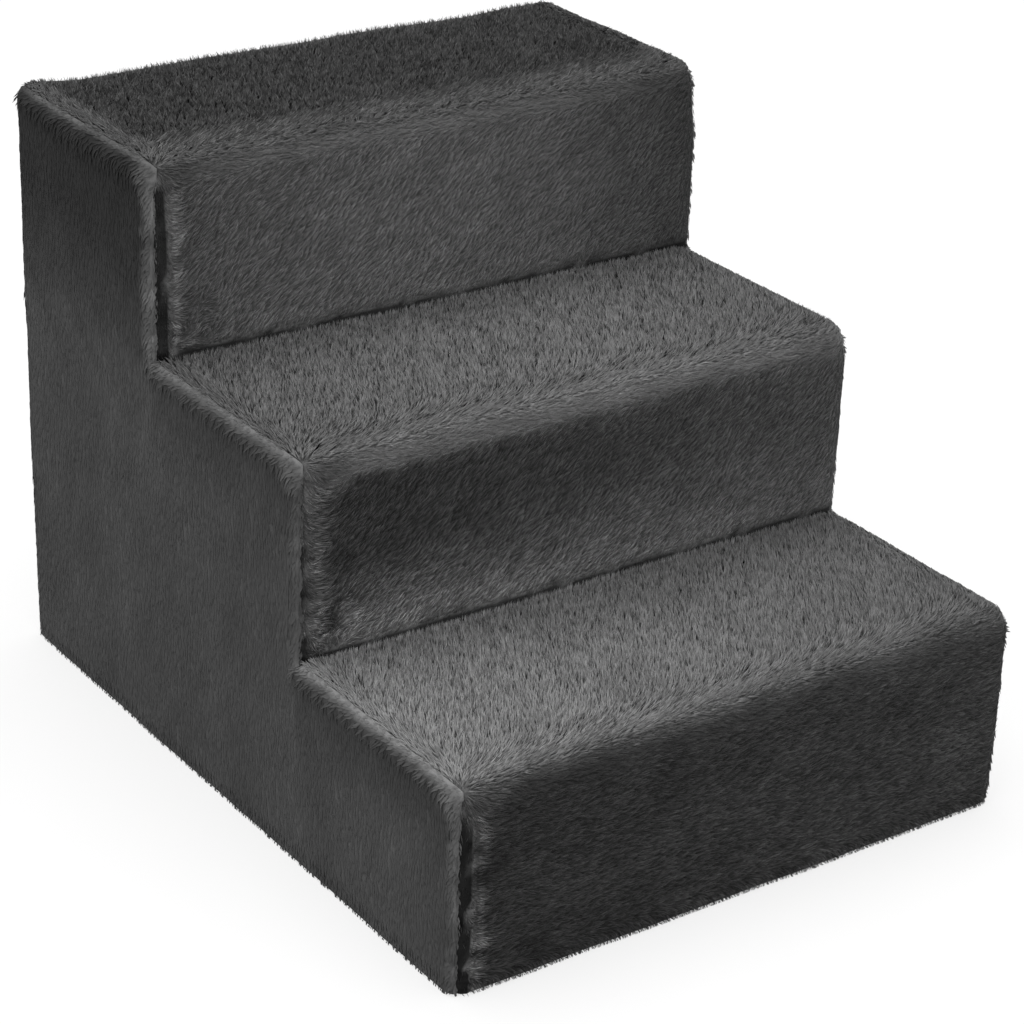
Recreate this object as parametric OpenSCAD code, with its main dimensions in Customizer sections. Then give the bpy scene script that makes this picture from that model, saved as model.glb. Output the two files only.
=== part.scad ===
// Three-step pet stairs: a foam core of glued slabs in a sewn plush cover,
// with a zip across the back and a dotted non-slip base cloth.
// Millimetres. X runs across the stairs, the climb goes towards +Y, and Z is up.
// The origin lies on the floor under the middle of the stairs.

/* [Steps] */
// Width of the stairs over the plush
stairs_w = 400; // [300:10:600]
// Depth of the lowest tread, from its riser to the next riser
tread_1_d = 162; // [120:2:260]
// Depth of the middle tread, from its riser to the next riser
tread_2_d = 162; // [120:2:260]
// Depth of the top tread, from its riser to the back of the stairs
tread_3_d = 176; // [120:2:300]
// Height of the lowest riser, from the floor
riser_1_h = 132; // [100:2:200]
// Height of the middle riser
riser_2_h = 124; // [80:2:200]
// Height of the top riser
riser_3_h = 122; // [80:2:200]

/* [Plush cover] */
// Thickness of the plush, its backing and its pile together
plush_t = 9; // [8:0.5:12]
// Rounding of the upright edges
edge_r = 11; // [9:1:16]
// Rounding of the lowest tread's nose and sides
nose_1_r = 11; // [9:1:18]
// Rounding of the middle tread's nose and sides
nose_2_r = 12; // [9:1:18]
// Rounding of the top tread's nose, sides and back, the softest of the three
nose_3_r = 18; // [9:1:18]
// Height of the lower edge of the plush above the floor
hem_z = 0.4; // [0.2:0.1:0.7]
// Width of the parting in the pile along a riser's side seam
parting_w = 7; // [3:0.5:10]
// Depth of the parting in the pile
parting_d = 4; // [1:0.5:6]

/* [Base cloth] */
// Thickness of the base cloth
base_t = 1.2; // [0.8:0.1:3]
// Height of a grip dot below the cloth
dot_h = 0.8; // [0.8:0.1:1.5]
// Diameter of a grip dot
dot_d = 6; // [3:0.5:12]
// Distance from one grip dot to the next
dot_pitch = 40; // [30:1:60]
// Distance kept clear of dots along the edge of the cloth
dot_margin = 16; // [8:1:40]

/* [Zip] */
// Height of the zip's centre line above the floor
zip_z = 44; // [32:1:70]
// Height of the slot between the plush above and below the zip
slot_h = 16; // [13:0.5:24]
// Width of one tape, from the zip's centre line to its sewn edge
tape_w = 15; // [13:0.5:20]
// Thickness of a tape
tape_t = 0.7; // [0.5:0.1:1]
// Distance from one tooth to the next in a row
tooth_pitch = 3.2; // [2.8:0.1:5]
// Length of a tooth, from its tip to its root on the tape
tooth_l = 2.8; // [2.4:0.1:3.2]
// Width of a tooth's head
tooth_head_w = 2; // [1.6:0.1:2.4]
// Width of a tooth's neck
tooth_neck_w = 1.2; // [0.8:0.1:1.5]
// Thickness of a tooth through the tape
tooth_t = 2.4; // [1.8:0.1:2.8]
// Space between the tips of the two rows, where the slider's web runs
tip_gap = 0.6; // [0.6:0.1:1]
// Length of a stop at either end of the teeth
stop_l = 3; // [2:0.5:5]

/* [Slider and pull] */
// Length of the slider along the zip
slider_l = 12; // [10:0.5:16]
// Width of the slider across the zip at its wide end
slider_w = 10; // [9:0.5:12]
// Width of the slider across the zip at its narrow end
slider_tail_w = 8.4; // [7.6:0.2:9]
// Thickness of the slider's plates
plate_t = 0.9; // [0.7:0.1:1.2]
// Running clearance between the teeth and the slider's plates
run_gap = 0.15; // [0.1:0.05:0.3]
// Length of the bridge that holds the pull
bridge_l = 6.4; // [5.6:0.2:8]
// Width of the bridge
bridge_w = 2.4; // [1.6:0.2:3]
// Thickness of the bridge's bar and posts
bridge_t = 0.9; // [0.7:0.1:1.2]
// Diameter of the pull's pin under the bridge
pin_d = 1.2; // [1:0.1:1.5]
// Clearance round the pin and between the pull and the slider
pull_gap = 0.2; // [0.15:0.05:0.3]
// Length of the pull from its pin to its far end
pull_l = 24; // [16:1:34]
// Width of the pull's grip
pull_w = 7.4; // [6.4:0.2:9]
// Width of each arm of the pull beside the bridge
arm_w = 1.5; // [1.2:0.1:2]

/* [Hidden] */

// Overrun of a cut past the face that it opens
cut_over = 1;
// Facets on a full turn of a soft edge
round_facets = 32;
// Facets on a full turn of a small round
small_facets = 24;
// Sides of a grip dot
dot_sides = 12;

plush_colour = [0.36, 0.36, 0.37];
foam_colour = [0.93, 0.91, 0.84];
base_colour = [0.13, 0.13, 0.14];
tape_colour = [0.2, 0.2, 0.21];
tooth_colour = [0.09, 0.09, 0.1];
metal_colour = [0.3, 0.3, 0.32];

// Steps: overall depth, face of each riser, top and rounding of each tread
stairs_d = tread_1_d + tread_2_d + tread_3_d;
front_y = -stairs_d / 2;
back_y = stairs_d / 2;
face_y = [front_y, front_y + tread_1_d, front_y + tread_1_d + tread_2_d];
top_z = [riser_1_h, riser_1_h + riser_2_h, riser_1_h + riser_2_h + riser_3_h];
nose_r = [nose_1_r, nose_2_r, nose_3_r];
first_step = 0;
middle_step = 1;
top_step = 2;

// The side seams run where the plush of the sides meets the plush of the steps
seam_x = stairs_w / 2 - plush_t;
foam_back_y = back_y - plush_t;
foam_low_z = dot_h + base_t;

// Zip: where each layer lies, counted outwards from the back of the foam
back_plate_y = foam_back_y + pull_gap;
teeth_y = back_plate_y + plate_t + run_gap;
tape_y = teeth_y + (tooth_t - tape_t) / 2;
front_plate_y = teeth_y + tooth_t + run_gap;
bridge_y = front_plate_y + plate_t;
pin_y = bridge_y + pull_gap + pin_d / 2;
bridge_bar_y = pin_y + pin_d / 2 + pull_gap;

// Zip: where the teeth end, and where the slider stands when it is closed
tip_z = tip_gap / 2;
root_z = tip_z + tooth_l;
tape_edge_z = tip_z + tooth_l / 2;
// The pull clears the side seams at both ends of the slider's run
closed_end_x = seam_x - pull_l - pull_gap;
open_end_x = -closed_end_x;
teeth_count = floor((closed_end_x - open_end_x - tooth_pitch) / tooth_pitch);
slider_x = closed_end_x - slider_l / 2;
web_t = tip_gap / 2;
window_w = bridge_w + 2 * pull_gap;
window_l = bridge_l / 2 + pull_gap;

// Points of a quarter turn round a centre, from the side to the top
function quarter_turn(centre, r) = [
    for (i = [0 : round_facets / 4])
        centre + r * [cos(i * 360 / round_facets), sin(i * 360 / round_facets)]
];

module box_between(low, high) {
    translate(low) cube(high - low);
}

// A copy at each of the four corners of a step's block, that far in from its faces
module at_corners(step, inset) {
    for (side = [-1, 1], y = [face_y[step] + inset, back_y - inset])
        translate([side * (stairs_w / 2 - inset), y, 0])
            children();
}

// The block from one riser to the back, up to that riser's tread
module soft_block(step) {
    dome_z = top_z[step] - nose_r[step];
    hull() {
        at_corners(step, edge_r)
            translate([0, 0, hem_z])
                cylinder(h = dome_z - hem_z, r = edge_r, $fn = round_facets);
        at_corners(step, nose_r[step])
            rotate_extrude($fn = round_facets)
                polygon(concat([[0, dome_z]], quarter_turn([0, dome_z], nose_r[step])));
    }
}

// Space that the pile leaves open where it parts along a riser's two side seams
module riser_partings(step) {
    low_z = step == first_step ? hem_z - cut_over : top_z[step - 1];
    for (side = [-1, 1])
        translate([side * seam_x, face_y[step], low_z])
            linear_extrude(top_z[step] - nose_r[step] - low_z)
                polygon([
                    [-parting_w / 2, -cut_over],
                    [parting_w / 2, -cut_over],
                    [parting_w / 2, 0],
                    [0, parting_d],
                    [-parting_w / 2, 0]
                ]);
}

// The outside of the whole cover
module soft_stairs() {
    difference() {
        union()
            for (step = [first_step : top_step])
                soft_block(step);
        for (step = [first_step : top_step])
            riser_partings(step);
    }
}

module foam_slab(step) {
    low_z = step == first_step ? foam_low_z : top_z[step - 1] - plush_t;
    color(foam_colour)
        box_between([-seam_x, face_y[step] + plush_t, low_z],
                    [seam_x, foam_back_y, top_z[step] - plush_t]);
}

module foam_base_slab() { foam_slab(first_step); }

module foam_middle_slab() { foam_slab(middle_step); }

module foam_top_slab() { foam_slab(top_step); }

// The plush of one side, cut to the outline of the stairs
module side_panel(side) {
    color(plush_colour)
        intersection() {
            soft_stairs();
            translate([side * (seam_x + stairs_w / 2) / 2, 0, top_z[top_step] / 2])
                cube([plush_t, stairs_d, top_z[top_step]], center = true);
        }
}

module cover_left_side() { side_panel(-1); }

module cover_right_side() { side_panel(1); }

// The plush of one step: its riser, its rounded nose and its tread in one piece
module step_panel(step) {
    low_z = step == first_step ? hem_z : top_z[step - 1] - plush_t;
    end_y = step == top_step ? foam_back_y : face_y[step + 1];
    color(plush_colour)
        intersection() {
            soft_stairs();
            union() {
                box_between([-seam_x, face_y[step], low_z],
                            [seam_x, face_y[step] + plush_t, top_z[step]]);
                box_between([-seam_x, face_y[step], top_z[step] - plush_t],
                            [seam_x, end_y, top_z[step]]);
            }
        }
}

module cover_step_1() { step_panel(first_step); }

module cover_step_2() { step_panel(middle_step); }

module cover_step_3() { step_panel(top_step); }

// The two zip tapes, as the strips that the plush is cut back for
module tape(side) {
    translate([0, tape_y + tape_t / 2, zip_z + side * (tape_edge_z + tape_w) / 2])
        cube([2 * seam_x, tape_t, tape_w - tape_edge_z], center = true);
}

module cover_back_panel() {
    color(plush_colour)
        difference() {
            intersection() {
                soft_stairs();
                box_between([-seam_x, foam_back_y, zip_z + slot_h / 2],
                            [seam_x, back_y, top_z[top_step]]);
            }
            tape(1);
        }
}

module cover_back_hem() {
    color(plush_colour)
        difference() {
            box_between([-seam_x, foam_back_y, hem_z],
                        [seam_x, back_y, zip_z - slot_h / 2]);
            tape(-1);
        }
}

// The base cloth with its printed grip dots, one of them in the middle
module cover_base() {
    across = floor((seam_x - dot_margin) / dot_pitch);
    along = floor((foam_back_y - dot_margin) / dot_pitch);
    color(base_colour) {
        box_between([-seam_x, -foam_back_y, dot_h],
                    [seam_x, foam_back_y, foam_low_z]);
        for (i = [-across : across], j = [-along : along])
            translate([i * dot_pitch, j * dot_pitch, 0])
                cylinder(h = foam_low_z - base_t / 2, d = dot_d, $fn = dot_sides);
    }
}

module zip_tape_upper() {
    color(tape_colour) tape(1);
}

module zip_tape_lower() {
    color(tape_colour) tape(-1);
}

// One row of teeth, each forked over the edge of its tape
module teeth_row(side, start_x) {
    color(tooth_colour)
        difference() {
            for (i = [0 : teeth_count - 1])
                translate([start_x + i * tooth_pitch, teeth_y + tooth_t, zip_z])
                    rotate([90, 0, 0])
                        linear_extrude(tooth_t)
                            polygon([
                                [-tooth_head_w / 2, side * tip_z],
                                [tooth_head_w / 2, side * tip_z],
                                [tooth_head_w / 2, side * (tip_z + tooth_l / 4)],
                                [tooth_neck_w / 2, side * (tip_z + tooth_l / 2)],
                                [tooth_neck_w / 2, side * root_z],
                                [-tooth_neck_w / 2, side * root_z],
                                [-tooth_neck_w / 2, side * (tip_z + tooth_l / 2)],
                                [-tooth_head_w / 2, side * (tip_z + tooth_l / 4)]
                            ]);
            tape(side);
        }
}

module zip_teeth_upper() { teeth_row(1, open_end_x + tooth_pitch / 2); }

module zip_teeth_lower() { teeth_row(-1, open_end_x + tooth_pitch); }

// A stop is clamped round the edge of each tape past the last tooth
module zip_top_stops() {
    color(metal_colour)
        difference() {
            for (side = [-1, 1])
                translate([
                    closed_end_x + pull_gap + stop_l / 2,
                    teeth_y + tooth_t / 2,
                    zip_z + side * (tip_z + root_z) / 2
                ])
                    cube([stop_l, tooth_t, tooth_l], center = true);
            for (side = [-1, 1])
                tape(side);
        }
}

module zip_bottom_stop() {
    color(metal_colour)
        difference() {
            translate([open_end_x - stop_l / 2 - pull_gap, teeth_y + tooth_t / 2, zip_z])
                cube([stop_l, tooth_t, 2 * root_z], center = true);
            for (side = [-1, 1])
                tape(side);
        }
}

// A plate of the slider, wide where the two rows come in
module slider_plate(y) {
    translate([slider_x, y + plate_t, zip_z])
        rotate([90, 0, 0])
            linear_extrude(plate_t)
                polygon([
                    [slider_l / 2, slider_w / 4],
                    [slider_l / 2 - slider_w / 8, slider_w / 2],
                    [0, slider_w / 2],
                    [-slider_l / 2, slider_tail_w / 2],
                    [-slider_l / 2, -slider_tail_w / 2],
                    [0, -slider_w / 2],
                    [slider_l / 2 - slider_w / 8, -slider_w / 2],
                    [slider_l / 2, -slider_w / 4]
                ]);
}

module zip_slider() {
    color(metal_colour) {
        slider_plate(back_plate_y);
        slider_plate(front_plate_y);
        // The web between the rows, which stands for the wedge that parts the teeth
        box_between([slider_x, back_plate_y + plate_t / 2, zip_z - web_t / 2],
                    [slider_x + slider_l / 3, front_plate_y + plate_t / 2, zip_z + web_t / 2]);
        // The bridge over the pull's pin
        for (side = [-1, 1])
            translate([
                slider_x + side * (bridge_l - bridge_t) / 2,
                (front_plate_y + plate_t / 2 + bridge_bar_y + bridge_t) / 2,
                zip_z
            ])
                cube([
                    bridge_t,
                    bridge_bar_y + bridge_t - front_plate_y - plate_t / 2,
                    bridge_w
                ], center = true);
        translate([slider_x, bridge_bar_y + bridge_t / 2, zip_z])
            cube([bridge_l, bridge_t, bridge_w], center = true);
    }
}

// The pull lies along the closed teeth and turns outwards on its pin
module zip_pull() {
    arms_w = window_w + 2 * arm_w;
    grip_x = slider_x - pin_d / 2 - window_l;
    color(metal_colour) {
        translate([slider_x, pin_y, zip_z - arms_w / 2])
            cylinder(h = arms_w, d = pin_d, $fn = small_facets);
        for (side = [-1, 1])
            translate([
                (slider_x + grip_x - arm_w) / 2,
                pin_y,
                zip_z + side * (window_w + arm_w) / 2
            ])
                cube([slider_x - grip_x + arm_w, pin_d, arm_w], center = true);
        difference() {
            union() {
                box_between([slider_x - pull_l + pull_w / 2, pin_y - pin_d / 2, zip_z - pull_w / 2],
                            [grip_x, pin_y + pin_d / 2, zip_z + pull_w / 2]);
                translate([slider_x - pull_l + pull_w / 2, pin_y + pin_d / 2, zip_z])
                    rotate([90, 0, 0])
                        cylinder(h = pin_d, d = pull_w, $fn = small_facets);
            }
            translate([slider_x - pull_l + pull_w / 2, pin_y + pin_d / 2 + cut_over, zip_z])
                rotate([90, 0, 0])
                    cylinder(h = pin_d + 2 * cut_over, d = pull_w / 2, $fn = small_facets);
        }
    }
}

foam_base_slab();
foam_middle_slab();
foam_top_slab();
cover_left_side();
cover_right_side();
cover_step_1();
cover_step_2();
cover_step_3();
cover_back_panel();
cover_back_hem();
cover_base();
zip_tape_upper();
zip_tape_lower();
zip_teeth_upper();
zip_teeth_lower();
zip_top_stops();
zip_bottom_stop();
zip_slider();
zip_pull();
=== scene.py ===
"""Dresses the packed pet stairs on a plain white stage.

It makes the foam core, the sewn plush cover with its laid pile, the base cloth and the back zip.
"""

import math
from types import SimpleNamespace
from typing import NamedTuple

import bmesh
import bpy
import numpy as np
from mathutils import Matrix, Vector, noise


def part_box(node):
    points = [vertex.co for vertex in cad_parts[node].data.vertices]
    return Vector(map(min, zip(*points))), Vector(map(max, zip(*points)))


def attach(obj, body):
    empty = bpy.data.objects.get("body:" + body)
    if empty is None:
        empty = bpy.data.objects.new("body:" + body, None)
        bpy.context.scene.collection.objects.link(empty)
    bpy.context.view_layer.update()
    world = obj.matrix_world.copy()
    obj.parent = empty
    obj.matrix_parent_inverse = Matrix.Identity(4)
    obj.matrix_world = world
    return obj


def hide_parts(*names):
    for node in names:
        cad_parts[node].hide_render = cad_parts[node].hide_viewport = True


bl_info = {
    "name": "Plush Pet Stairs",
    "version": (1, 0, 0),
    "blender": (4, 5, 0),
    "location": "View3D > Sidebar > Pet Stairs",
    "description": "Builds the cover, pile, foam and zip of soft pet stairs around their packed model",
    "category": "Object",
}

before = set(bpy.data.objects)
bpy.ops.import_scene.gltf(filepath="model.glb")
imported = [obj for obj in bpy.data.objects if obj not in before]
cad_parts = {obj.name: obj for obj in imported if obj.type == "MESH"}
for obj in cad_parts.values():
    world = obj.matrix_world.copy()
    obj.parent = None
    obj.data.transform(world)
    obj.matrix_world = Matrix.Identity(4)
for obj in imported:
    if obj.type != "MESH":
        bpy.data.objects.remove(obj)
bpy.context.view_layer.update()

# Places of the panels, from the packed model, in metres, with the lowest step first
STEPS = range(3)
TOP_STEP = STEPS[-1]
FACES = [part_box(f"cover_step_{k + 1}")[0].y for k in STEPS]
TOPS = [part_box(f"cover_step_{k + 1}")[1].z for k in STEPS]
# The pile parts a little outside the stitching, on the turn of the edge
PARTING = 0.0025
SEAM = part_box("cover_step_1")[1].x + PARTING
HALF_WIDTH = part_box("cover_right_side")[1].x
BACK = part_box("cover_back_panel")[1].y
BACK_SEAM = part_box("cover_back_panel")[0].y
SLOT_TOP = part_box("cover_back_panel")[0].z
SLOT_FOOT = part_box("cover_back_hem")[1].z
FLOOR_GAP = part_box("cover_back_hem")[0].z
# Lowest place of the panels' square form, and of the backing once it is waved
FOOT = FLOOR_GAP + 0.0006
LOWEST = FLOOR_GAP + 0.0002
# Steps to the metre in which points are told apart, and the length of one
POINT_STEPS = 1.0e5
TINY = 1.0e-5
# Fixes the noise that turns the pile, so that every run gives the same stairs
NOISE_SEED = 11
noise.seed_set(NOISE_SEED)


# Sizes and colours


def length_property(name, description, default):
    return bpy.props.FloatProperty(
        name=name, description=description, default=default, unit="LENGTH", precision=5, min=0.0
    )


def number_property(name, description, default, low=0.0, high=1.0e6):
    return bpy.props.FloatProperty(
        name=name, description=description, default=default, min=low, max=high
    )


def colour_property(name, description, default):
    return bpy.props.FloatVectorProperty(
        name=name, description=description, default=default, subtype="COLOR", size=3, min=0.0, max=1.0
    )


class CoverShape(bpy.types.PropertyGroup):
    """Form of the sewn cover under its pile."""

    inset: length_property("Inset", "Depth of the backing under the tips of the pile", 0.0042)
    thickness: length_property("Backing thickness", "Thickness of the knitted backing", 0.0012)
    edge_radius: length_property("Upright edge radius", "Rounding of the upright edges", 0.011)
    nose_1: length_property("Nose 1 radius", "Rounding of the lowest step's top edges", 0.011)
    nose_2: length_property("Nose 2 radius", "Rounding of the middle step's top edges", 0.012)
    nose_3: length_property("Nose 3 radius", "Rounding of the top step's top edges", 0.018)
    groove_width: length_property("Seam groove width", "Width of the parting over a riser seam", 0.007)
    groove_depth: length_property("Seam groove depth", "Depth of the parting over a riser seam", 0.0025)
    softness: length_property("Softness", "Height of the slow waves in the stuffed panels", 0.0009)
    sink: length_property("Most sink", "Most extra depth of the backing under upright pile", 0.0042)
    rise: length_property("Most rise", "Most that the backing rises under pile that lies flat", 0.0034)


class PileSizes(bpy.types.PropertyGroup):
    """Size and spacing of the locks of the pile."""

    lock_width: length_property("Lock width", "Width of one lock of pile", 0.00058)
    spacing: length_property("Least spacing", "Least distance between two lock roots", 0.00056)
    tuft: length_property("Tuft size", "Distance between tufts that lean together", 0.0042)
    step_density: number_property("Step density", "Locks on a square metre of tread or riser", 2.4e6)
    side_density: number_property("Side density", "Locks on a square metre of side panel", 2.05e5)
    back_density: number_property("Back density", "Locks on a square metre of back panel", 1.3e5)
    tread_length: length_property("Tread pile length", "Length of a lock on a tread", 0.0088)
    top_length: length_property("Top pile length", "Length of a lock on the top tread", 0.0075)
    riser_length: length_property("Riser pile length", "Length of a lock on a riser", 0.0059)
    side_length: length_property("Side pile length", "Length of a lock on the sides and back", 0.0082)
    seed: bpy.props.IntProperty(name="Seed", description="Fixes every random choice of the pile", default=11)


class PileTones(bpy.types.PropertyGroup):
    """Lightness of the pile on each panel. The differences between the panels are painted light and shade, as
    each panel faces and its pile lies towards or away from the light.
    """

    tread_1: number_property("Tread 1", "Lightness of the lowest tread", 0.222, 0.0, 1.0)
    tread_2: number_property("Tread 2", "Lightness of the middle tread", 0.170, 0.0, 1.0)
    tread_3: number_property("Tread 3", "Lightness of the top tread", 0.081, 0.0, 1.0)
    # The rim's lightness is painted light, where the brushed pile of the edges catches the light
    rim_3: number_property("Rim of the top step", "Lightness of the top step's brushed edges", 0.13, 0.0, 1.0)
    riser_1: number_property("Riser 1", "Lightness of the lowest riser", 0.081, 0.0, 1.0)
    riser_2: number_property("Riser 2", "Lightness of the middle riser", 0.160, 0.0, 1.0)
    riser_3: number_property("Riser 3", "Lightness of the top riser", 0.189, 0.0, 1.0)
    side: number_property("Sides and back", "Lightness of the side and back panels", 0.0715, 0.0, 1.0)


class TrimSizes(bpy.types.PropertyGroup):
    """Sizes of the foam, base cloth and zip details."""

    foam_round: length_property("Foam rounding", "Rounding of the cut foam edges", 0.008)
    dot_size: length_property("Grip dot size", "Width of one printed grip dot", 0.004)
    dot_height: length_property("Grip dot height", "Height of one printed grip dot", 0.0007)
    dot_pitch: length_property("Grip dot pitch", "Distance between grip dots", 0.04 / 3)
    base_edge: length_property("Base edge", "How far the base cloth reaches under the side seams", 0.003)
    stitch_length: length_property("Stitch length", "Length of one stitch on the zip tapes", 0.0022)
    stitch_pitch: length_property("Stitch pitch", "Distance between stitches", 0.003)


class CoverColours(bpy.types.PropertyGroup):
    """Colours of everything but the pile."""

    plush: colour_property("Plush tint", "Tint that the pile's lightness is multiplied by", (1.0, 1.0, 1.0))
    # Painted shade: the knitted backing is kept darker than its pile's tone, like the shade in the gaps
    # between the locks
    backing: colour_property("Backing", "Knitted backing, times the tone of its pile", (0.7, 0.7, 0.7))
    # Painted light: the napped backing is lighter than its pile's tone, to offset the shade in the gaps
    # between the locks
    nap: colour_property("Napped backing", "Backing under the sides' and back's pile", (1.4, 1.4, 1.4))
    foam: colour_property("Foam", "Cut faces of the foam core", (0.46, 0.44, 0.38))
    base: colour_property("Base cloth", "Woven cloth of the base", (0.03, 0.03, 0.032))
    dots: colour_property("Grip dots", "Printed rubber of the grip dots", (0.012, 0.012, 0.013))
    tape: colour_property("Zip tape", "Woven tape of the zip", (0.022, 0.022, 0.024))
    teeth: colour_property("Zip teeth", "Moulded teeth of the zip", (0.018, 0.018, 0.02))
    metal: colour_property("Zip metal", "Slider, pull and stops", (0.16, 0.16, 0.165))


class StageLight(bpy.types.PropertyGroup):
    """Floor, lamps and world."""

    overhead: bpy.props.FloatProperty(
        name="Overhead lamp", description="Power of the large lamp above", default=26.0, unit="POWER"
    )
    fill: bpy.props.FloatProperty(
        name="Side lamp", description="Power of the lamp at the front left", default=9.0, unit="POWER"
    )
    world: number_property("World", "Strength of the even light from all round", 0.80, 0.0, 2.0)
    floor: colour_property("Floor", "Colour that the floor throws back", (0.32, 0.32, 0.32))
    glow: number_property("Floor glow", "White that the camera adds to the floor", 0.7, 0.0, 1.0)


# Small tools


def smooth(low, high, value):
    """0 below low, 1 above high, and an even rise between them."""
    t = min(max((value - low) / (high - low), 0.0), 1.0)
    return t * t * (3.0 - 2.0 * t)


def fade(low, high, value):
    """1 below low, 0 above high, and an even fall between them."""
    return 1.0 - smooth(low, high, value)


def toward(value, target, share):
    """The value moved by that share of its way to the target."""
    return value + (target - value) * share


def between(a, b, share):
    return Vector(a) * (1.0 - share) + Vector(b) * share


def spread(start, end, fine=0.0024, wide=0.007, band=0.017):
    """Grid places from start to end, closer together in a band at each end."""
    length = end - start
    if length < 2.5 * band:
        return list(np.linspace(start, end, max(2, round(length / fine)) + 1))
    ends = max(1, round(band / fine))
    middle = max(1, round((length - 2 * band) / wide))
    low = np.linspace(start, start + band, ends + 1)[:-1]
    mid = np.linspace(start + band, end - band, middle + 1)[:-1]
    high = np.linspace(end - band, end, ends + 1)
    return [*low, *mid, *high]


def node(tree, kind, inputs=None, **settings):
    """Adds a node. inputs maps a socket's name or number to a value or to another node's output."""
    made = tree.nodes.new(kind)
    for key, value in settings.items():
        setattr(made, key, value)
    for key, value in (inputs or {}).items():
        socket = made.inputs[key]
        if isinstance(value, bpy.types.NodeSocket):
            tree.links.new(value, socket)
        else:
            socket.default_value = value
    return made


def maths(tree, operation, a, b=0.0):
    kind = "ShaderNodeMath"
    return node(tree, kind, {0: a, 1: b}, operation=operation).outputs[0]


def vectors(tree, operation, a, b=(0.0, 0.0, 0.0)):
    made = node(tree, "ShaderNodeVectorMath", {0: a, 1: b}, operation=operation)
    return made.outputs["Value" if operation in ("DOT_PRODUCT", "LENGTH") else "Vector"]


def scaled(tree, a, factor):
    return node(tree, "ShaderNodeVectorMath", {0: a, "Scale": factor}, operation="SCALE").outputs["Vector"]


def mesh_object(name, points, faces):
    mesh = bpy.data.meshes.new(name)
    mesh.from_pydata([tuple(p) for p in points], [], faces)
    mesh.validate()
    mesh.update()
    made = bpy.data.objects.new(name, mesh)
    bpy.context.scene.collection.objects.link(made)
    return made


def shade_smooth(target):
    target.data.shade_smooth()


def apply_modifiers(target):
    """Turns the object, as its modifiers leave it, into a plain mesh."""
    graph = bpy.context.evaluated_depsgraph_get()
    mesh = bpy.data.meshes.new_from_object(target.evaluated_get(graph), depsgraph=graph)
    target.modifiers.clear()
    old = target.data
    target.data = mesh
    bpy.data.meshes.remove(old)
    mesh.name = target.name


def grow(target, tree, values):
    """Runs a node tree on the object with the named inputs and keeps the result as its mesh."""
    modifier = target.modifiers.new("grow", "NODES")
    modifier.node_group = tree
    names = {
        item.name: item.identifier
        for item in tree.interface.items_tree
        if item.item_type == "SOCKET" and item.in_out == "INPUT"
    }
    for name, value in values.items():
        modifier[names[name]] = value
    apply_modifiers(target)


def keep_attributes(target, kept):
    for name in [a.name for a in target.data.attributes]:
        attribute = target.data.attributes.get(name)
        if attribute and not attribute.is_internal and not attribute.is_required and name not in kept:
            target.data.attributes.remove(attribute)


def dress(target, material):
    target.data.materials.clear()
    target.data.materials.append(material)


# Form of the cover


def noses(shape):
    return (shape.nose_1, shape.nose_2, shape.nose_3)


# The top's back left corner is sharper: how far from the back, and how far left, that starts and ends
SHARP_BEFORE_BACK = (0.070, 0.012)
SHARP_LEFT = (0.150, 0.192)
# The right ends of the two lower steps are softer: how far right that starts and ends, and its share
SOFT_RIGHT = (0.08, 0.17)
SOFT_SHARE = 0.5


def rounded(shape, k, p):
    """Where a point of step k's square form goes when the step's edges are rounded."""
    inset, nose = shape.inset, noses(shape)[k]
    rise = smooth(TOPS[k] - 3.0 * nose, TOPS[k] - nose, p.z)
    near_back = smooth(BACK - SHARP_BEFORE_BACK[0], BACK - SHARP_BEFORE_BACK[1], p.y)
    rise *= 1.0 - near_back * smooth(*SHARP_LEFT, -p.x)
    r = shape.edge_radius * (1.0 - rise) + nose * rise
    if k < TOP_STEP:
        r *= 1.0 + SOFT_SHARE * smooth(*SOFT_RIGHT, p.x)
    r -= inset
    low = (-HALF_WIDTH + inset + r, FACES[k] + inset + r)
    high = (HALF_WIDTH - inset - r, BACK - inset - r)
    centre = Vector(
        (
            min(max(p.x, low[0]), high[0]),
            min(max(p.y, low[1]), high[1]),
            min(p.z, TOPS[k] - inset - r),
        )
    )
    out = p - centre
    return centre + out * (r / out.length) if out.length > 0.01 * TINY else p.copy()


def softened(shape, p):
    """The point on the whole cover: rounded by the step that holds it most deeply."""
    best = None
    for k in STEPS:
        if p.y > FACES[k] + shape.inset - TINY and p.z < TOPS[k] - shape.inset + TINY:
            moved = rounded(shape, k, p)
            if best is None or (moved - p).length < (best - p).length:
                best = moved
    return best or p.copy()


def groove(shape, p):
    """How far the parting over a riser's seam sinks the backing at a square-form point."""
    if not any(
        abs(p.y - FACES[k] - shape.inset) < TINY
        and (k == 0 or p.z > TOPS[k - 1] - shape.inset)
        and p.z < TOPS[k] - noses(shape)[k]
        for k in STEPS
    ):
        return 0.0
    return shape.groove_depth * max(0.0, 1.0 - 2.0 * abs(abs(p.x) - SEAM) / shape.groove_width)


# Broad and narrow waves to the metre in the stuffed panels, and the narrow ones' share
BROAD_WAVES = 13.0
NARROW_WAVES = 31.0
NARROW_SHARE = 0.6


def slow_wave(shape, p):
    broad = noise.noise(p * BROAD_WAVES)
    narrow = noise.noise(p * NARROW_WAVES + Vector((5, 2, 8)))
    return shape.softness * (broad + NARROW_SHARE * narrow)


# Share of a lock's height that stands above the backing, and the room kept over its tip
STANDING = 0.9
TIP_ROOM = 0.0007
# Grid lines over the narrow strips that turn over an edge, and over the hem
STRIP_LINES = 4
HEM_LINES = 13


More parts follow.
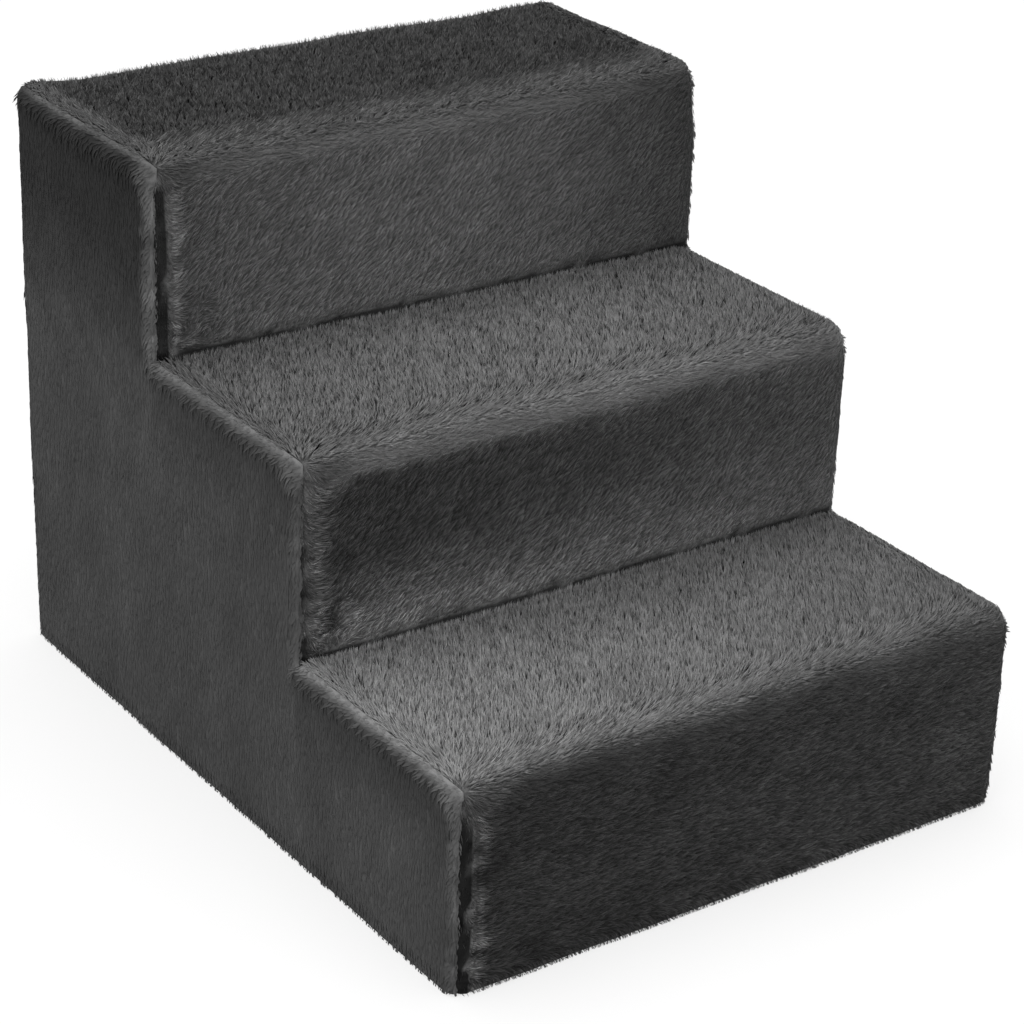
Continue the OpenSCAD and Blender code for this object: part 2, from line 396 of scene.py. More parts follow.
class Panel:
    """One cut of the cover, laid out on the square form and then softened."""

    def __init__(self, shape):
        self.shape, self.index, self.square, self.faces = shape, {}, [], []

    def point(self, p):
        key = tuple(round(v * POINT_STEPS) for v in p)
        if key not in self.index:
            self.index[key] = len(self.square)
            self.square.append(Vector(p))
        return self.index[key]

    def patch(self, us, vs, place, outward):
        """Adds a grid of faces over two lists of places, turned to face outward."""
        grid = [[self.point(place(u, v)) for v in vs] for u in us]
        a, b, c = (self.square[grid[i][j]] for i, j in ((0, 0), (1, 0), (0, 1)))
        turned = (b - a).cross(c - a).dot(Vector(outward)) < 0
        for i in range(len(us) - 1):
            for j in range(len(vs) - 1):
                quad = (grid[i][j], grid[i + 1][j], grid[i + 1][j + 1], grid[i][j + 1])
                self.faces.append(quad[::-1] if turned else quad)

    def build(self, name, lie):
        """The panel's mesh, sunk under upright pile, raised under flat pile, and marked with its lie."""
        shape = self.shape
        points = []
        for p in self.square:
            q = softened(shape, p)
            q.y += groove(shape, p)
            points.append(q)
        made = mesh_object(name, points, self.faces)
        mesh = made.data
        normals = [v.normal.copy() for v in mesh.vertices]
        rows = [lie(p) for p in self.square]
        for vertex, normal, row in zip(mesh.vertices, normals, rows):
            pile_height = STANDING * row.long * math.sin(max(row.lift, 0.0)) + TIP_ROOM
            sink = min(max(pile_height - shape.inset, -shape.rise), shape.sink)
            vertex.co = vertex.co + normal * (slow_wave(shape, vertex.co) - sink)
            vertex.co.z = max(vertex.co.z, LOWEST)
        nap = mesh.attributes.new("nap", "FLOAT_VECTOR", "POINT")
        nap.data.foreach_set("vector", np.array([row.nap for row in rows], np.float32).ravel())
        for label in ("lift", "long", "tone", "thick", "even"):
            attribute = mesh.attributes.new(label, "FLOAT", "POINT")
            values = [getattr(row, label) for row in rows]
            attribute.data.foreach_set("value", np.array(values, np.float32))
        mesh.update()
        return made


def step_panel(shape, k, riser=True, tread=True, start=-SEAM, stop=SEAM):
    """Riser and tread of step k, from seam to seam or for a part of its width."""
    panel, inset = Panel(shape), shape.inset
    face, top = FACES[k] + inset, TOPS[k] - inset
    foot = TOPS[k - 1] - inset if k else FOOT
    end = FACES[k + 1] + inset if k < TOP_STEP else BACK_SEAM
    xs = spread(start, stop)
    if riser:
        panel.patch(xs, spread(foot, top), lambda x, z: (x, face, z), (0, -1, 0))
    if tread:
        panel.patch(xs, spread(face, end), lambda x, y: (x, y, top), (0, 0, 1))
    return panel


def side_panel(shape, sign):
    """A side cut to the outline of the stairs, with the narrow strips that turn over its edges."""
    panel, inset = Panel(shape), shape.inset
    out, back = sign * (HALF_WIDTH - inset), BACK - inset
    fronts = [face + inset for face in FACES]
    tops = [top - inset for top in TOPS]
    ys = [spread(front, end) for front, end in zip(fronts, (*fronts[1:], back))]
    zs = [spread(foot, top) for foot, top in zip((FOOT, *tops[:-1]), tops)]
    strip = list(np.linspace(sign * SEAM, out, STRIP_LINES))
    for k in STEPS:
        for j in range(k + 1):
            panel.patch(ys[k], zs[j], lambda y, z: (out, y, z), (sign, 0, 0))
        panel.patch(ys[k], strip, lambda y, x, k=k: (x, y, tops[k]), (0, 0, 1))
        panel.patch(strip, zs[k], lambda x, z, k=k: (x, fronts[k], z), (0, -1, 0))
        panel.patch(strip, zs[k], lambda x, z: (x, back, z), (0, 1, 0))
    return panel


def back_panel(shape):
    """The plush above the zip, turned over the top edge."""
    panel, back, top = Panel(shape), BACK - shape.inset, TOPS[TOP_STEP] - shape.inset
    xs = spread(-SEAM, SEAM)
    strip = list(np.linspace(BACK_SEAM, back, STRIP_LINES))
    panel.patch(xs, spread(SLOT_TOP, top), lambda x, z: (x, back, z), (0, 1, 0))
    panel.patch(xs, strip, lambda x, y: (x, y, top), (0, 0, 1))
    return panel


def back_hem(shape):
    """The strip of plush below the zip."""
    panel, back = Panel(shape), BACK - shape.inset
    zs = list(np.linspace(FOOT, SLOT_FOOT, HEM_LINES))
    panel.patch(spread(-SEAM, SEAM), zs, lambda x, z: (x, back, z), (0, 1, 0))
    return panel


# The lie of the pile


class StepPile(NamedTuple):
    """What sets one step's pile apart: sizes in metres, lifts in radians, tones and shares."""

    # Directions in which the pile lies, and its lift on the tread
    tread_nap: tuple
    riser_nap: tuple
    tread_lift: float
    # How far behind the nose the pile starts to turn along it
    front_depth: float
    # Where past the nose's edge the tread's tone turns to the riser's, and over how far each way
    turn: tuple
    # Painted light over the turn of the nose, and extra contrast of the broad and the fine blotches below it
    nose_highlight: float
    blotch_gain: tuple
    # The bare line at the left seam: its width, the share of light that its painted shade takes, and the
    # share of locks that it loses
    bare_width: float
    bare_shade: float
    bare_thin: float
    # The light fringe beside it, painted light where its strands catch the light: how far it reaches from the
    # seam, its tone and its strands' contrast
    fringe_reach: float
    fringe_tone: float
    strand_contrast: float
    # The fans in which the fringe opens: their pitch and how far they spread
    fan_pitch: float
    fan_spread: float
    # How even the tones are at the tread's front, at the riser's top, and over the riser from left to right
    tread_even: float
    crest_even: float
    riser_even: tuple
    # Painted light and shade across the tread: its tone at its left, and what is added towards the right and
    # in the middle
    tread_light_and_shade: tuple = (1.0, 0.0, 0.0)
    # What the turn of the tone gains towards the right
    turn_gain: tuple = (0.0, 0.0)
    # The rough patch at the riser's foot: its loss of light and its contrast
    rough_dark: float = 0.0
    rough_contrast: float = 0.0


STEP_PILES = (
    StepPile(
        tread_nap=(0.50, 0.86, 0.0),
        riser_nap=(0.98, 0.0, 0.12),
        tread_lift=0.62,
        front_depth=0.045,
        turn=(-0.002, 0.012),
        nose_highlight=0.20,
        blotch_gain=(0.16, 0.20),
        bare_width=0.0056,
        bare_shade=0.94,
        bare_thin=0.9,
        fringe_reach=0.015,
        fringe_tone=0.36,
        strand_contrast=1.3,
        fan_pitch=0.026,
        fan_spread=1.5,
        tread_even=0.4,
        crest_even=0.5,
        riser_even=(0.0, 0.1),
        tread_light_and_shade=(1.36, -0.56, 0.0),
    ),
    StepPile(
        tread_nap=(0.50, 0.86, 0.0),
        riser_nap=(0.66, 0.0, 0.75),
        tread_lift=0.62,
        front_depth=0.045,
        turn=(0.017, 0.002),
        nose_highlight=0.75,
        blotch_gain=(0.06, 0.12),
        bare_width=0.0022,
        bare_shade=0.88,
        bare_thin=0.5,
        fringe_reach=0.019,
        fringe_tone=0.32,
        strand_contrast=0.9,
        fan_pitch=0.034,
        fan_spread=0.7,
        tread_even=0.7,
        crest_even=0.8,
        riser_even=(0.0, 0.45),
        tread_light_and_shade=(0.90, 0.0, 0.20),
        turn_gain=(-0.006, 0.010),
        rough_dark=0.30,
        rough_contrast=1.4,
    ),
    StepPile(
        tread_nap=(-0.45, -0.85, 0.0),
        riser_nap=(0.66, 0.0, 0.75),
        tread_lift=1.05,
        front_depth=0.060,
        turn=(0.010, 0.022),
        nose_highlight=0.25,
        blotch_gain=(0.04, 0.09),
        bare_width=0.0062,
        bare_shade=0.92,
        bare_thin=0.7,
        fringe_reach=0.017,
        fringe_tone=0.46,
        strand_contrast=0.9,
        fan_pitch=0.030,
        fan_spread=0.8,
        tread_even=0.7,
        crest_even=0.8,
        riser_even=(0.30, 0.20),
        rough_dark=0.05,
        rough_contrast=0.9,
    ),
)
# Directions of the pile: along the nose, along the side seams, up the right seam and down a bare line
ALONG_NOSE = (0.86, 0.40, 0.1)
ALONG_SEAM = (-0.10, 1.0, 0.0)
UP_SEAM = (0.1, 0.0, 1.0)
DOWN_SEAM = (0.1, 0.0, -1.0)
# Direction of the comb line over the nose, and how far past the nose's edge its middle lies
COMB_NAP = (0.97, 0.04, -0.06)
COMB_MIDDLE = 0.003
# Lifts of the pile at the tread's front, beside a seam, on the nose, in a star and in a crease
FRONT_LIFT = 0.40
SEAM_LIFT = 0.38
NOSE_LIFT = 0.24
STAR_LIFT = 0.34
CREASE_LIFT = 1.15
# How many nose radii each way the pile takes to turn from the tread's lie to the riser's
NOSE_ROLL = 1.3
# Distances over which the pile changes, from and to: from a seam, from the nose's edge or from a corner
BESIDE_SEAM = (0.003, 0.017)
LIFTED_BY_SEAM = (0.002, 0.016)
LAID_ON_NOSE = (0.001, 0.009)
COMB_FADE = (0.004, 0.016)
COMB_ON_TREAD = 0.014
COMB_START = (0.004, 0.030)
FRONT_END = 0.008
FRINGE_START = (0.010, 0.020)
STAR_REACH = (0.008, 0.030)
STAR_LIGHT = (0.010, 0.030)
RIM_LEFT = (0.001, 0.018)
RIM_RIGHT = (0.001, 0.012)
RIM_BACK = (0.006, 0.034)
RIM_FRONT = 0.060
EVEN_ON_TREAD = (0.003, 0.015)
EVEN_BY_SEAM = (0.001, 0.010)
EVEN_ON_RISER = (0.005, 0.020)
# How the light rim at the tread's front widens to the right
RIM_WIDENS = 0.012
# Distances before the back over which the top edges' pile shortens at the left
SHORT_BEFORE_BACK = (0.045, 0.012)
# Distances from a crease over which the tread's pile darkens with painted shade, thins, rises and shortens
CREASE_SHADE = (0.0010, 0.0034)
CREASE_THIN = (0.0002, 0.0022)
CREASE_RISE = (0.004, 0.014)
CREASE_SHORT = (0.002, 0.012)
# Height of the riser's crease line, where by it the pile darkens with painted shade and thins, and the
# shortest lock above it
CREASE_LINE = 0.0056
LINE_SHADE = (-0.0005, 0.0015)
LINE_THIN = (-0.0012, 0.0006)
CREASE_LOCK = 0.0026
# How steeply the locks grow longer above the crease line
CREASE_SLOPE = 0.62
# How far from the bare line's edge its painted shade starts and ends
BARE_EDGE = (-0.0008, 0.0006)
# The rough patch at the riser's foot: its place from the left seam and from the foot, and its reach
ROUGH_PLACE = (0.020, 0.018)
ROUGH_REACH = (0.008, 0.026)
# Heights over which the pile near the floor turns every way
HEM_RISER = (0.002, 0.014)
HEM_SIDE = (0.002, 0.012)
# Uneven edges, each as heights and waves to the metre: of the seam's fringe, of the turn of tone,
# of the light rims, of the fans, of the creases, of the side's edges and of the rough patch
SEAM_RAGGED = ((0.0045, 45.0), (0.002, 170.0))
TURN_RAGGED = ((0.003, 60.0), (0.002, 190.0))
RIM_PATCHY = ((0.016, 70.0), (0.010, 22.0))
FAN_RAGGED = (0.010, 55.0)
TREAD_CREASE_RAGGED = (0.0018, 160.0)
RISER_CREASE_RAGGED = (0.0036, 120.0)
SIDE_RAGGED = (0.002, 110.0)
ROUGH_GRAIN = 230.0
# Light strands to the metre, along and upward, in the riser's fringe and on the side
FRINGE_STRANDS = (90.0, 420.0)
SIDE_STRANDS = (90.0, 380.0)
# Sizes of the swirls in the risers' and treads' pile, from broad to fine, of the sides' and back's pile,
# and of the pile at a rough patch, near the floor, in the sides' bands and on their strips
BROAD_SWIRL = 0.055
MIDDLE_SWIRL = 0.022
FINE_SWIRL = 0.009
PLAIN_SWIRL = 0.05
PLAIN_FINE_SWIRL = 0.014
ROUGH_SWIRL = 0.007
HEM_SWIRL = 0.006
BAND_SWIRL = 0.007
STRIP_SWIRL = 0.008
# Sizes of the broad and fine blotches in the steps' tone, in the back's tone and in the sides' three marks
STEP_BLOTCHES = (0.035, 0.012)
BACK_BLOTCHES = (0.045, 0.015)
SIDE_MARKS = (0.030, 0.045, 0.012)
# Distances past the nose over which the painted light and shade of the two upper risers changes: where that
# starts at the left, how much sooner at the right, where it ends, and where the foot's change starts
LOW_START = 0.065
LOW_SOONER = 0.04
LOW_END = 0.12
FOOT_START = 0.09
# Room kept under the tips near the floor, the shortest lock there, and the longest lock's share of the length
FLOOR_ROOM = 0.0015
SHORTEST = 0.003
LONGEST_SHARE = 1.2


def mottle(p, size, amount):
    """A slow change around 1, from blotches of that size."""
    return 1.0 + amount * noise.noise(Vector(p) / size)


def uneven(p, *waves):
    """A slow change around 0. Each wave is its height and how many lie to the metre."""
    return sum(height * noise.noise(p * count) for height, count in waves)


def swirl(p, size):
    return Vector(noise.noise_vector(Vector(p) / size))


def above_floor(p, nap, lift, long):
    """Shortens a lock that would reach through the floor."""
    down = max(0.0, -Vector(nap).normalized().z) * math.cos(lift)
    room = max(p.z - FLOOR_ROOM, 0.0) / LONGEST_SHARE
    return long if down * long <= room else max(SHORTEST, room / down)


def rim_tones(tones):
    return (tones.tread_1, tones.tread_2, tones.rim_3)


class StepLie:
    """The pile's direction, lift, length, tone, thickness and evenness over step k."""

    def __init__(self, shape, pile, tones, k):
        self.k, self.own, self.nose = k, STEP_PILES[k], noses(shape)[k]
        self.tread_tone = (tones.tread_1, tones.tread_2, tones.tread_3)[k]
        self.riser_tone = (tones.riser_1, tones.riser_2, tones.riser_3)[k]
        self.rim_tone = rim_tones(tones)[k]
        self.tread_long = pile.top_length if k == TOP_STEP else pile.tread_length
        self.riser_long = pile.riser_length
        self.face, self.top = FACES[k] + shape.inset, TOPS[k] - shape.inset
        self.foot = TOPS[k - 1] - shape.inset if k else 0.0
        self.end = FACES[k + 1] + shape.inset if k < TOP_STEP else BACK

    def __call__(self, p):
        at = self.spot(p)
        lie = SimpleNamespace(
            nap=self.nap(at),
            lift=self.lift(at),
            long=self.long(at),
            tone=self.tone(at),
            thick=1.0,
            even=self.even(at),
        )
        self.star(at, lie)
        if not at.on_tread:
            self.fringe(at, lie)
            lie.tone *= self.riser_light_and_shade(at)
            if self.k:
                self.riser_crease(at, lie)
                self.rough_patch(at, lie)
            else:
                self.hem(at, lie)
        elif self.k < TOP_STEP:
            self.tread_crease(at, lie)
        return lie

    def spot(self, p):
        """Where the point lies: how far past the nose's edge, from each seam, and within each band."""
        own = self.own
        on_tread = p.z > self.top - TINY
        past = self.face - p.y if on_tread else self.top - p.z
        left = p.x + SEAM
        across = left / (2.0 * SEAM)
        ragged = uneven(p, *SEAM_RAGGED)
        started = smooth(0.3, 1.0, past / self.nose) if self.k else smooth(*FRINGE_START, past)
        centre = own.turn[0] + own.turn_gain[0] * across
        reach = own.turn[1] + own.turn_gain[1] * across
        return SimpleNamespace(
            p=p,
            on_tread=on_tread,
            past=past,
            left=left,
            right=SEAM - p.x,
            across=across,
            roll=smooth(-NOSE_ROLL * self.nose, NOSE_ROLL * self.nose, past),
            front=smooth(-own.front_depth, -FRONT_END, past),
            near_left=fade(*BESIDE_SEAM, left),
            near_right=fade(*BESIDE_SEAM, SEAM - p.x),
            ragged=ragged,
            started=started,
            fringe=fade(own.bare_width, own.fringe_reach, left + ragged) * started,
            turn=smooth(centre - reach, centre + reach, past + uneven(p, *TURN_RAGGED)),
            height=p.z - self.foot,
        )

    def nap(self, at):
        """Combed along the nose, laid back along the seams and opened in fans beside the left parting."""
        own, p = self.own, at.p
        flat = between(own.tread_nap, ALONG_NOSE, at.front)
        flat = between(flat, ALONG_SEAM, at.near_left)
        flat = between(flat, ALONG_SEAM, at.near_right)
        place = (p.z + uneven(p, FAN_RAGGED)) / own.fan_pitch
        fan = (0.90, 0.0, (place - math.floor(place) - 0.5) * own.fan_spread)
        down = between(own.riser_nap, fan, at.fringe)
        down = between(down, UP_SEAM, at.near_right * 0.8)
        nap = between(flat, down, at.roll)
        # The comb line fades more slowly on the tread's side of its middle
        fade_end = COMB_FADE[1] + COMB_ON_TREAD * (at.past < COMB_MIDDLE)
        combed = 0.9 * fade(COMB_FADE[0], fade_end, abs(at.past - COMB_MIDDLE))
        nap = between(nap, COMB_NAP, combed * smooth(*COMB_START, at.right))
        return nap + (
            swirl(p, MIDDLE_SWIRL) * (0.16 + 0.12 * at.roll)
            + swirl(p, BROAD_SWIRL) * 0.14
            + swirl(p, FINE_SWIRL) * 0.28 * at.roll
        )

    def lift(self, at):
        """Upright on the tread, and laid down at its front, beside the seams and over the nose."""
        lift = toward(self.own.tread_lift, FRONT_LIFT, at.front) - 0.14 * at.roll
        by_seam = fade(*LIFTED_BY_SEAM, min(at.left, at.right))
        lift = toward(lift, SEAM_LIFT, by_seam * (1.0 - at.roll))
        lift = toward(lift, NOSE_LIFT, fade(*LAID_ON_NOSE, abs(at.past)))
        return toward(lift, NOSE_LIFT, at.near_right * at.roll)

    def long(self, at):
        long = self.tread_long * (1 - at.roll) + self.riser_long * at.roll
        long *= 1.0 - 0.6 * at.near_right
        if self.k == TOP_STEP:
            by_back = smooth(BACK - SHORT_BEFORE_BACK[0], BACK - SHORT_BEFORE_BACK[1], at.p.y)
            long *= 1.0 - 0.6 * at.near_left * by_back
        return long

    def tone(self, at):
        """The tread's tone with its light rim and the painted light over the nose, turned to the riser's
        below the nose. The rim is painted light, where the brushed pile of the edges catches the light.
        """
        own, p, across = self.own, at.p, at.across
        patchy = uneven(p, *RIM_PATCHY)
        rim = max(
            fade(*RIM_LEFT, at.left + patchy),
            0.3 * fade(*RIM_RIGHT, at.right + patchy),
            0.5 * fade(*RIM_BACK, BACK - p.y + patchy) if self.k == TOP_STEP else 0.0,
            smooth(-RIM_FRONT, 0.0, at.past + 1.5 * patchy - RIM_WIDENS * across),
        )
        at_left, to_right, in_middle = own.tread_light_and_shade
        tone = toward(self.tread_tone, self.rim_tone, rim)
        tone *= at_left + to_right * across + in_middle * math.sin(math.pi * across)
        tone *= 1.0 + own.nose_highlight * at.roll
        tone = toward(tone, self.riser_tone, at.turn)
        broad = mottle(p, STEP_BLOTCHES[0], 0.09 + own.blotch_gain[0] * at.roll)
        fine = mottle(p, STEP_BLOTCHES[1], 0.06 + own.blotch_gain[1] * at.roll)
        return tone * broad * fine

    def even(self, at):
        """How little the locks differ in tone."""
        own = self.own
        if at.on_tread:
            crest = own.tread_even * fade(*EVEN_ON_TREAD, abs(at.past))
            return max(crest, 0.7 * fade(*EVEN_BY_SEAM, at.left))
        crest = own.crest_even * fade(*EVEN_ON_RISER, at.past)
        return max(crest, own.riser_even[0] + own.riser_even[1] * at.across)

    def star(self, at, lie):
        """A star of light locks at the nose's left corner, whose lightness on the riser is painted light, as
        at the rims.
        """
        star = fade(*STAR_REACH, math.hypot(at.left, at.past))
        if star <= 0.0:
            return
        away = (0.0, -at.past, 0.0) if at.on_tread else (0.0, 0.0, -abs(at.past))
        away = (Vector(away) + Vector((at.left + 0.001, 0.0, 0.0))).normalized()
        lie.nap = between(lie.nap, away + Vector((0, -0.2, -0.1)), 0.8 * star)
        lie.lift = toward(lie.lift, STAR_LIFT, star)
        if not at.on_tread:
            light = 0.8 * fade(*STAR_LIGHT, math.hypot(at.left * 0.8, at.past))
            lie.tone = toward(lie.tone, self.rim_tone * 0.8, light)

    def fringe(self, at, lie):
        """The light fringe and the bare line at the left seam: painted light on the fringe's strands, and
        painted shade on the bare line in the groove over the seam.
        """
        own = self.own
        along, upward = at.p.x * FRINGE_STRANDS[0], at.p.z * FRINGE_STRANDS[1]
        strand = 0.85 + own.strand_contrast * noise.noise(Vector((along, 0.0, upward)))
        start, end = (own.bare_width + edge for edge in BARE_EDGE)
        bare = fade(start, end, at.left + 0.55 * at.ragged) * at.started
        lie.nap = between(lie.nap, DOWN_SEAM, bare)
        # Painted light on the fringe's strands, and painted shade on the bare line in the groove over the
        # seam
        lie.tone = toward(lie.tone, own.fringe_tone * strand, at.fringe) * (1.0 - own.bare_shade * bare)
        lie.lift += 0.20 * at.fringe
        lie.lift -= 0.36 * bare
        lie.long *= 1.0 - 0.5 * bare
        lie.thick = 1.0 - own.bare_thin * bare

    def riser_light_and_shade(self, at):
        """Painted light and shade over the riser: how its tone changes from left to right and towards its
        foot.
        """
        across = at.across
        if self.k == 0:
            return 0.90 + 0.46 * across
        low = smooth(LOW_START - LOW_SOONER * across, LOW_END, at.past)
        if self.k == TOP_STEP:
            return 0.87 + 0.60 * math.sin(math.pi * across) - 0.40 * across + 0.10 * low
        foot = 0.35 * smooth(FOOT_START, LOW_END, at.past)
        change = 0.48 * across - 0.54 + (1.65 - 1.45 * across) * low + foot
        return 1.0 + change * (1.0 - at.fringe) * at.turn

    def riser_crease(self, at, lie):
        """Painted shade: the dark line where the riser meets the tread below it."""
        line = CREASE_LINE + uneven(at.p, RISER_CREASE_RAGGED)
        lie.tone *= 1.0 - 0.85 * fade(line + LINE_SHADE[0], line + LINE_SHADE[1], at.height)
        lie.thick *= smooth(line + LINE_THIN[0], line + LINE_THIN[1], at.height)
        lie.long = min(lie.long, CREASE_LOCK + max(0.0, at.height - line) / CREASE_SLOPE)

    def rough_patch(self, at, lie):
        """A rubbed patch at the riser's foot, near its left seam."""
        rough = fade(*ROUGH_REACH, math.hypot(at.left - ROUGH_PLACE[0], at.height - ROUGH_PLACE[1]))
        if rough <= 0.0:
            return
        grain = self.own.rough_contrast * rough * noise.noise(at.p * ROUGH_GRAIN)
        lie.nap += swirl(at.p, ROUGH_SWIRL) * 2.8 * rough
        lie.lift += 0.34 * rough
        lie.tone *= 1.0 - self.own.rough_dark * rough + grain

    def hem(self, at, lie):
        """The lowest riser's pile turns every way near the floor."""
        hem = fade(*HEM_RISER, at.height)
        lie.nap = between(lie.nap, (0.2, -0.2, -0.9), hem) + swirl(at.p, HEM_SWIRL) * 0.6 * hem
        lie.lift += 0.4 * hem
        lie.long = above_floor(at.p, lie.nap, lie.lift, lie.long)

    def tread_crease(self, at, lie):
        """The pile darkens with painted shade, thins and rises where the tread meets the next riser."""
        gap = self.end - at.p.y + uneven(at.p, TREAD_CREASE_RAGGED)
        lie.tone *= 1.0 - 0.8 * fade(*CREASE_SHADE, gap)
        lie.thick = smooth(*CREASE_THIN, gap)
        lie.lift = toward(lie.lift, CREASE_LIFT, fade(*CREASE_RISE, gap) * (1.0 - at.near_left))
        lie.long *= 1.0 - 0.35 * fade(*CREASE_SHORT, gap)


# Width of the light rim along each step's top edge, and of the light band along each riser's edge, both
# painted light where the pile turns and catches the light
SIDE_RIMS = (0.0048, 0.0048, 0.0032)
SIDE_EDGES = (0.008, 0.007, 0.014)
# Tones of the band's strands on the side, and of the strip that turns to the riser, painted light where the
# strands catch the light
SIDE_EDGE_TONES = (0.15, 0.13, 0.21)
SIDE_STRIP_TONES = (0.19, 0.16, 0.26)
# Distances from the corner above a riser over which the side's pile opens in a star, and the star's middle
SIDE_STAR = (0.006, 0.022)
SIDE_STAR_MIDDLE = 0.004
# Distances below a top edge over which the side's pile turns down, and where its edge bands start
SIDE_TURN = (0.001, 0.008)
BAND_BELOW = 0.002
# Distances below a top edge over which the side darkens: strongly and faintly at the top step, then lower
SIDE_DARK_TOP = (0.04, 0.15)
SIDE_DARK_BROAD = (0.0, 0.2)
SIDE_DARK = (0.0, 0.07)
# Places from front to back, and up, over which the painted light and shade of the folds in the side's pile
# grows stronger
FOLDS_BACK = (0.08, 0.13)
FOLDS_UP = (0.16, 0.24)
# Distances before the back over which the side's light rim fades
RIM_BEFORE_BACK = (0.035, 0.010)
# The strips at the risers: how far down they start, the locks' length and half its difference between the
# two sides, and the seam's width, darkened with painted shade, and its locks; and the length of the locks on
# the strips at the back
STRIP_BELOW = 0.012
STRIP_LOCK = 0.0056
STRIP_UNEVEN = 0.0014
SEAM_WIDTH = 0.0006
SEAM_LOCK = 0.004
BACK_STRIP_LOCK = 0.007


class SideLie:
    """The smooth pile of a side, laid almost straight down, with soft light bands of painted light along its
    edges.
    """

    def __init__(self, shape, pile, tones, sign):
        self.inset, self.sign, self.tone, self.length = shape.inset, sign, tones.side, pile.side_length
        self.rim_tones = rim_tones(tones)

    def spot(self, p):
        """Where the point lies: under which step, at which riser's height, and how far from their edges."""
        inset = self.inset
        k = sum(p.y >= face + inset - TINY for face in FACES[1:])
        step = sum(p.z >= top - inset - TINY for top in TOPS[:-1])
        above, front = max(TOPS[k] - inset - p.z, 0.0), FACES[step] + inset
        ragged = uneven(p, SIDE_RAGGED)
        edge = fade(0.001, SIDE_EDGES[step], p.y - front + 1.8 * ragged) if above > BAND_BELOW else 0.0
        return SimpleNamespace(
            p=p,
            k=k,
            step=step,
            above=above,
            front=front,
            behind=p.y - front,
            turned=abs(p.x) < HALF_WIDTH - inset - TINY,
            rim=fade(0.0, SIDE_RIMS[k], above + ragged),
            edge=edge,
            rim_tone=self.rim_tones[k],
            strand=0.8 + 0.7 * noise.noise(Vector((0.0, p.y * SIDE_STRANDS[0], p.z * SIDE_STRANDS[1]))),
        )

    def __call__(self, p):
        at = self.spot(p)
        inner = 1.0 - at.rim
        lie = SimpleNamespace(nap=self.nap(at), tone=self.shade(at), thick=1.0, even=0.7 * at.rim)
        lie.lift = 0.03 + 0.17 * at.rim + 0.20 * at.edge
        lie.long = self.length * (1.0 - 0.3 * at.edge) * (1.0 - 0.6 * at.rim)
        by_back = smooth(BACK - SHORT_BEFORE_BACK[0], BACK - SHORT_BEFORE_BACK[1], p.y)
        lie.long *= 1.0 - 0.5 * at.rim * by_back
        lie.nap += (Vector((0.0, 0.6, 0.3)) + swirl(p, BAND_SWIRL) * 0.4) * at.edge * inner
        lie.tone = toward(lie.tone, SIDE_EDGE_TONES[at.step] * at.strand, at.edge * inner * 0.8)
        self.star(at, lie)
        if at.turned:
            self.strips(at, lie)
        hem = fade(*HEM_SIDE, p.z)
        lie.nap += swirl(p, HEM_SWIRL) * 0.6 * hem
        lie.lift += 0.3 * hem
        lie.long = above_floor(p, lie.nap, lie.lift, lie.long)
        return lie

    def nap(self, at):
        nap = Vector((0.0, -0.12, -1.0))
        nap = nap + swirl(at.p, PLAIN_SWIRL) * 0.2 + swirl(at.p, PLAIN_FINE_SWIRL) * 0.08
        return between(nap, (0.05 * self.sign, 0.85, -0.35), fade(*SIDE_TURN, at.above))

    def shade(self, at):
        """Soft slanting brush marks, soft folds in painted light and shade, darker towards the top edges, and
        the light rim along them in painted light.
        """
        p = at.p
        stretched = Vector((p.x, p.y, p.z * 0.45))
        brushed = Vector((0.0, (p.y + 0.5 * p.z) * 4.0, p.z - 0.5 * p.y))
        folded = Vector((0.0, (p.y + p.z) * 0.16, p.z - 0.9 * p.y))
        tone = self.tone * mottle(stretched, SIDE_MARKS[0], 0.17) * mottle(brushed, SIDE_MARKS[1], 0.15)
        # The soft folds' marks below are painted light and shade, stronger at the top and back
        top_back = smooth(*FOLDS_BACK, p.y) * smooth(*FOLDS_UP, p.z)
        tone *= mottle(folded, SIDE_MARKS[2], 0.06 + 0.20 * top_back)
        if at.k == TOP_STEP:
            broad = 0.06 * fade(*SIDE_DARK_BROAD, at.above)
            tone *= 1.0 - 0.62 * fade(*SIDE_DARK_TOP, at.above) - broad
        else:
            tone *= 1.0 - 0.30 * fade(*SIDE_DARK, at.above)
        by_back = smooth(BACK - RIM_BEFORE_BACK[0], BACK - RIM_BEFORE_BACK[1], p.y)
        return toward(tone, at.rim_tone * 0.8 * (1.0 - 0.6 * by_back), at.rim)

    def star(self, at, lie):
        """A star of light locks at the corner above each riser, whose lightness is painted light, as at the
        rim.
        """
        star = fade(*SIDE_STAR, math.hypot(at.behind, at.above))
        if star > 0.0:
            away = Vector((0.2 * self.sign, at.behind - SIDE_STAR_MIDDLE, -at.above)).normalized()
            lie.nap = between(lie.nap, away, 0.7 * star)
            lie.lift = toward(lie.lift, 0.3, star)
            lie.tone = toward(lie.tone, at.rim_tone * 0.8, 0.8 * star)

    def strips(self, at, lie):
        """The narrow strips that turn to a riser, with their light strands in painted light and their seam
        darkened with painted shade, and to the back.
        """
        p = at.p
        if abs(p.y - at.front) < TINY and at.above > STRIP_BELOW:
            lie.nap = Vector((0.8 * self.sign, 0.0, -0.5)) + swirl(p, STRIP_SWIRL) * 0.4
            lie.tone = SIDE_STRIP_TONES[at.step] * at.strand
            lie.lift = 0.36
            lie.long = STRIP_LOCK - STRIP_UNEVEN * self.sign
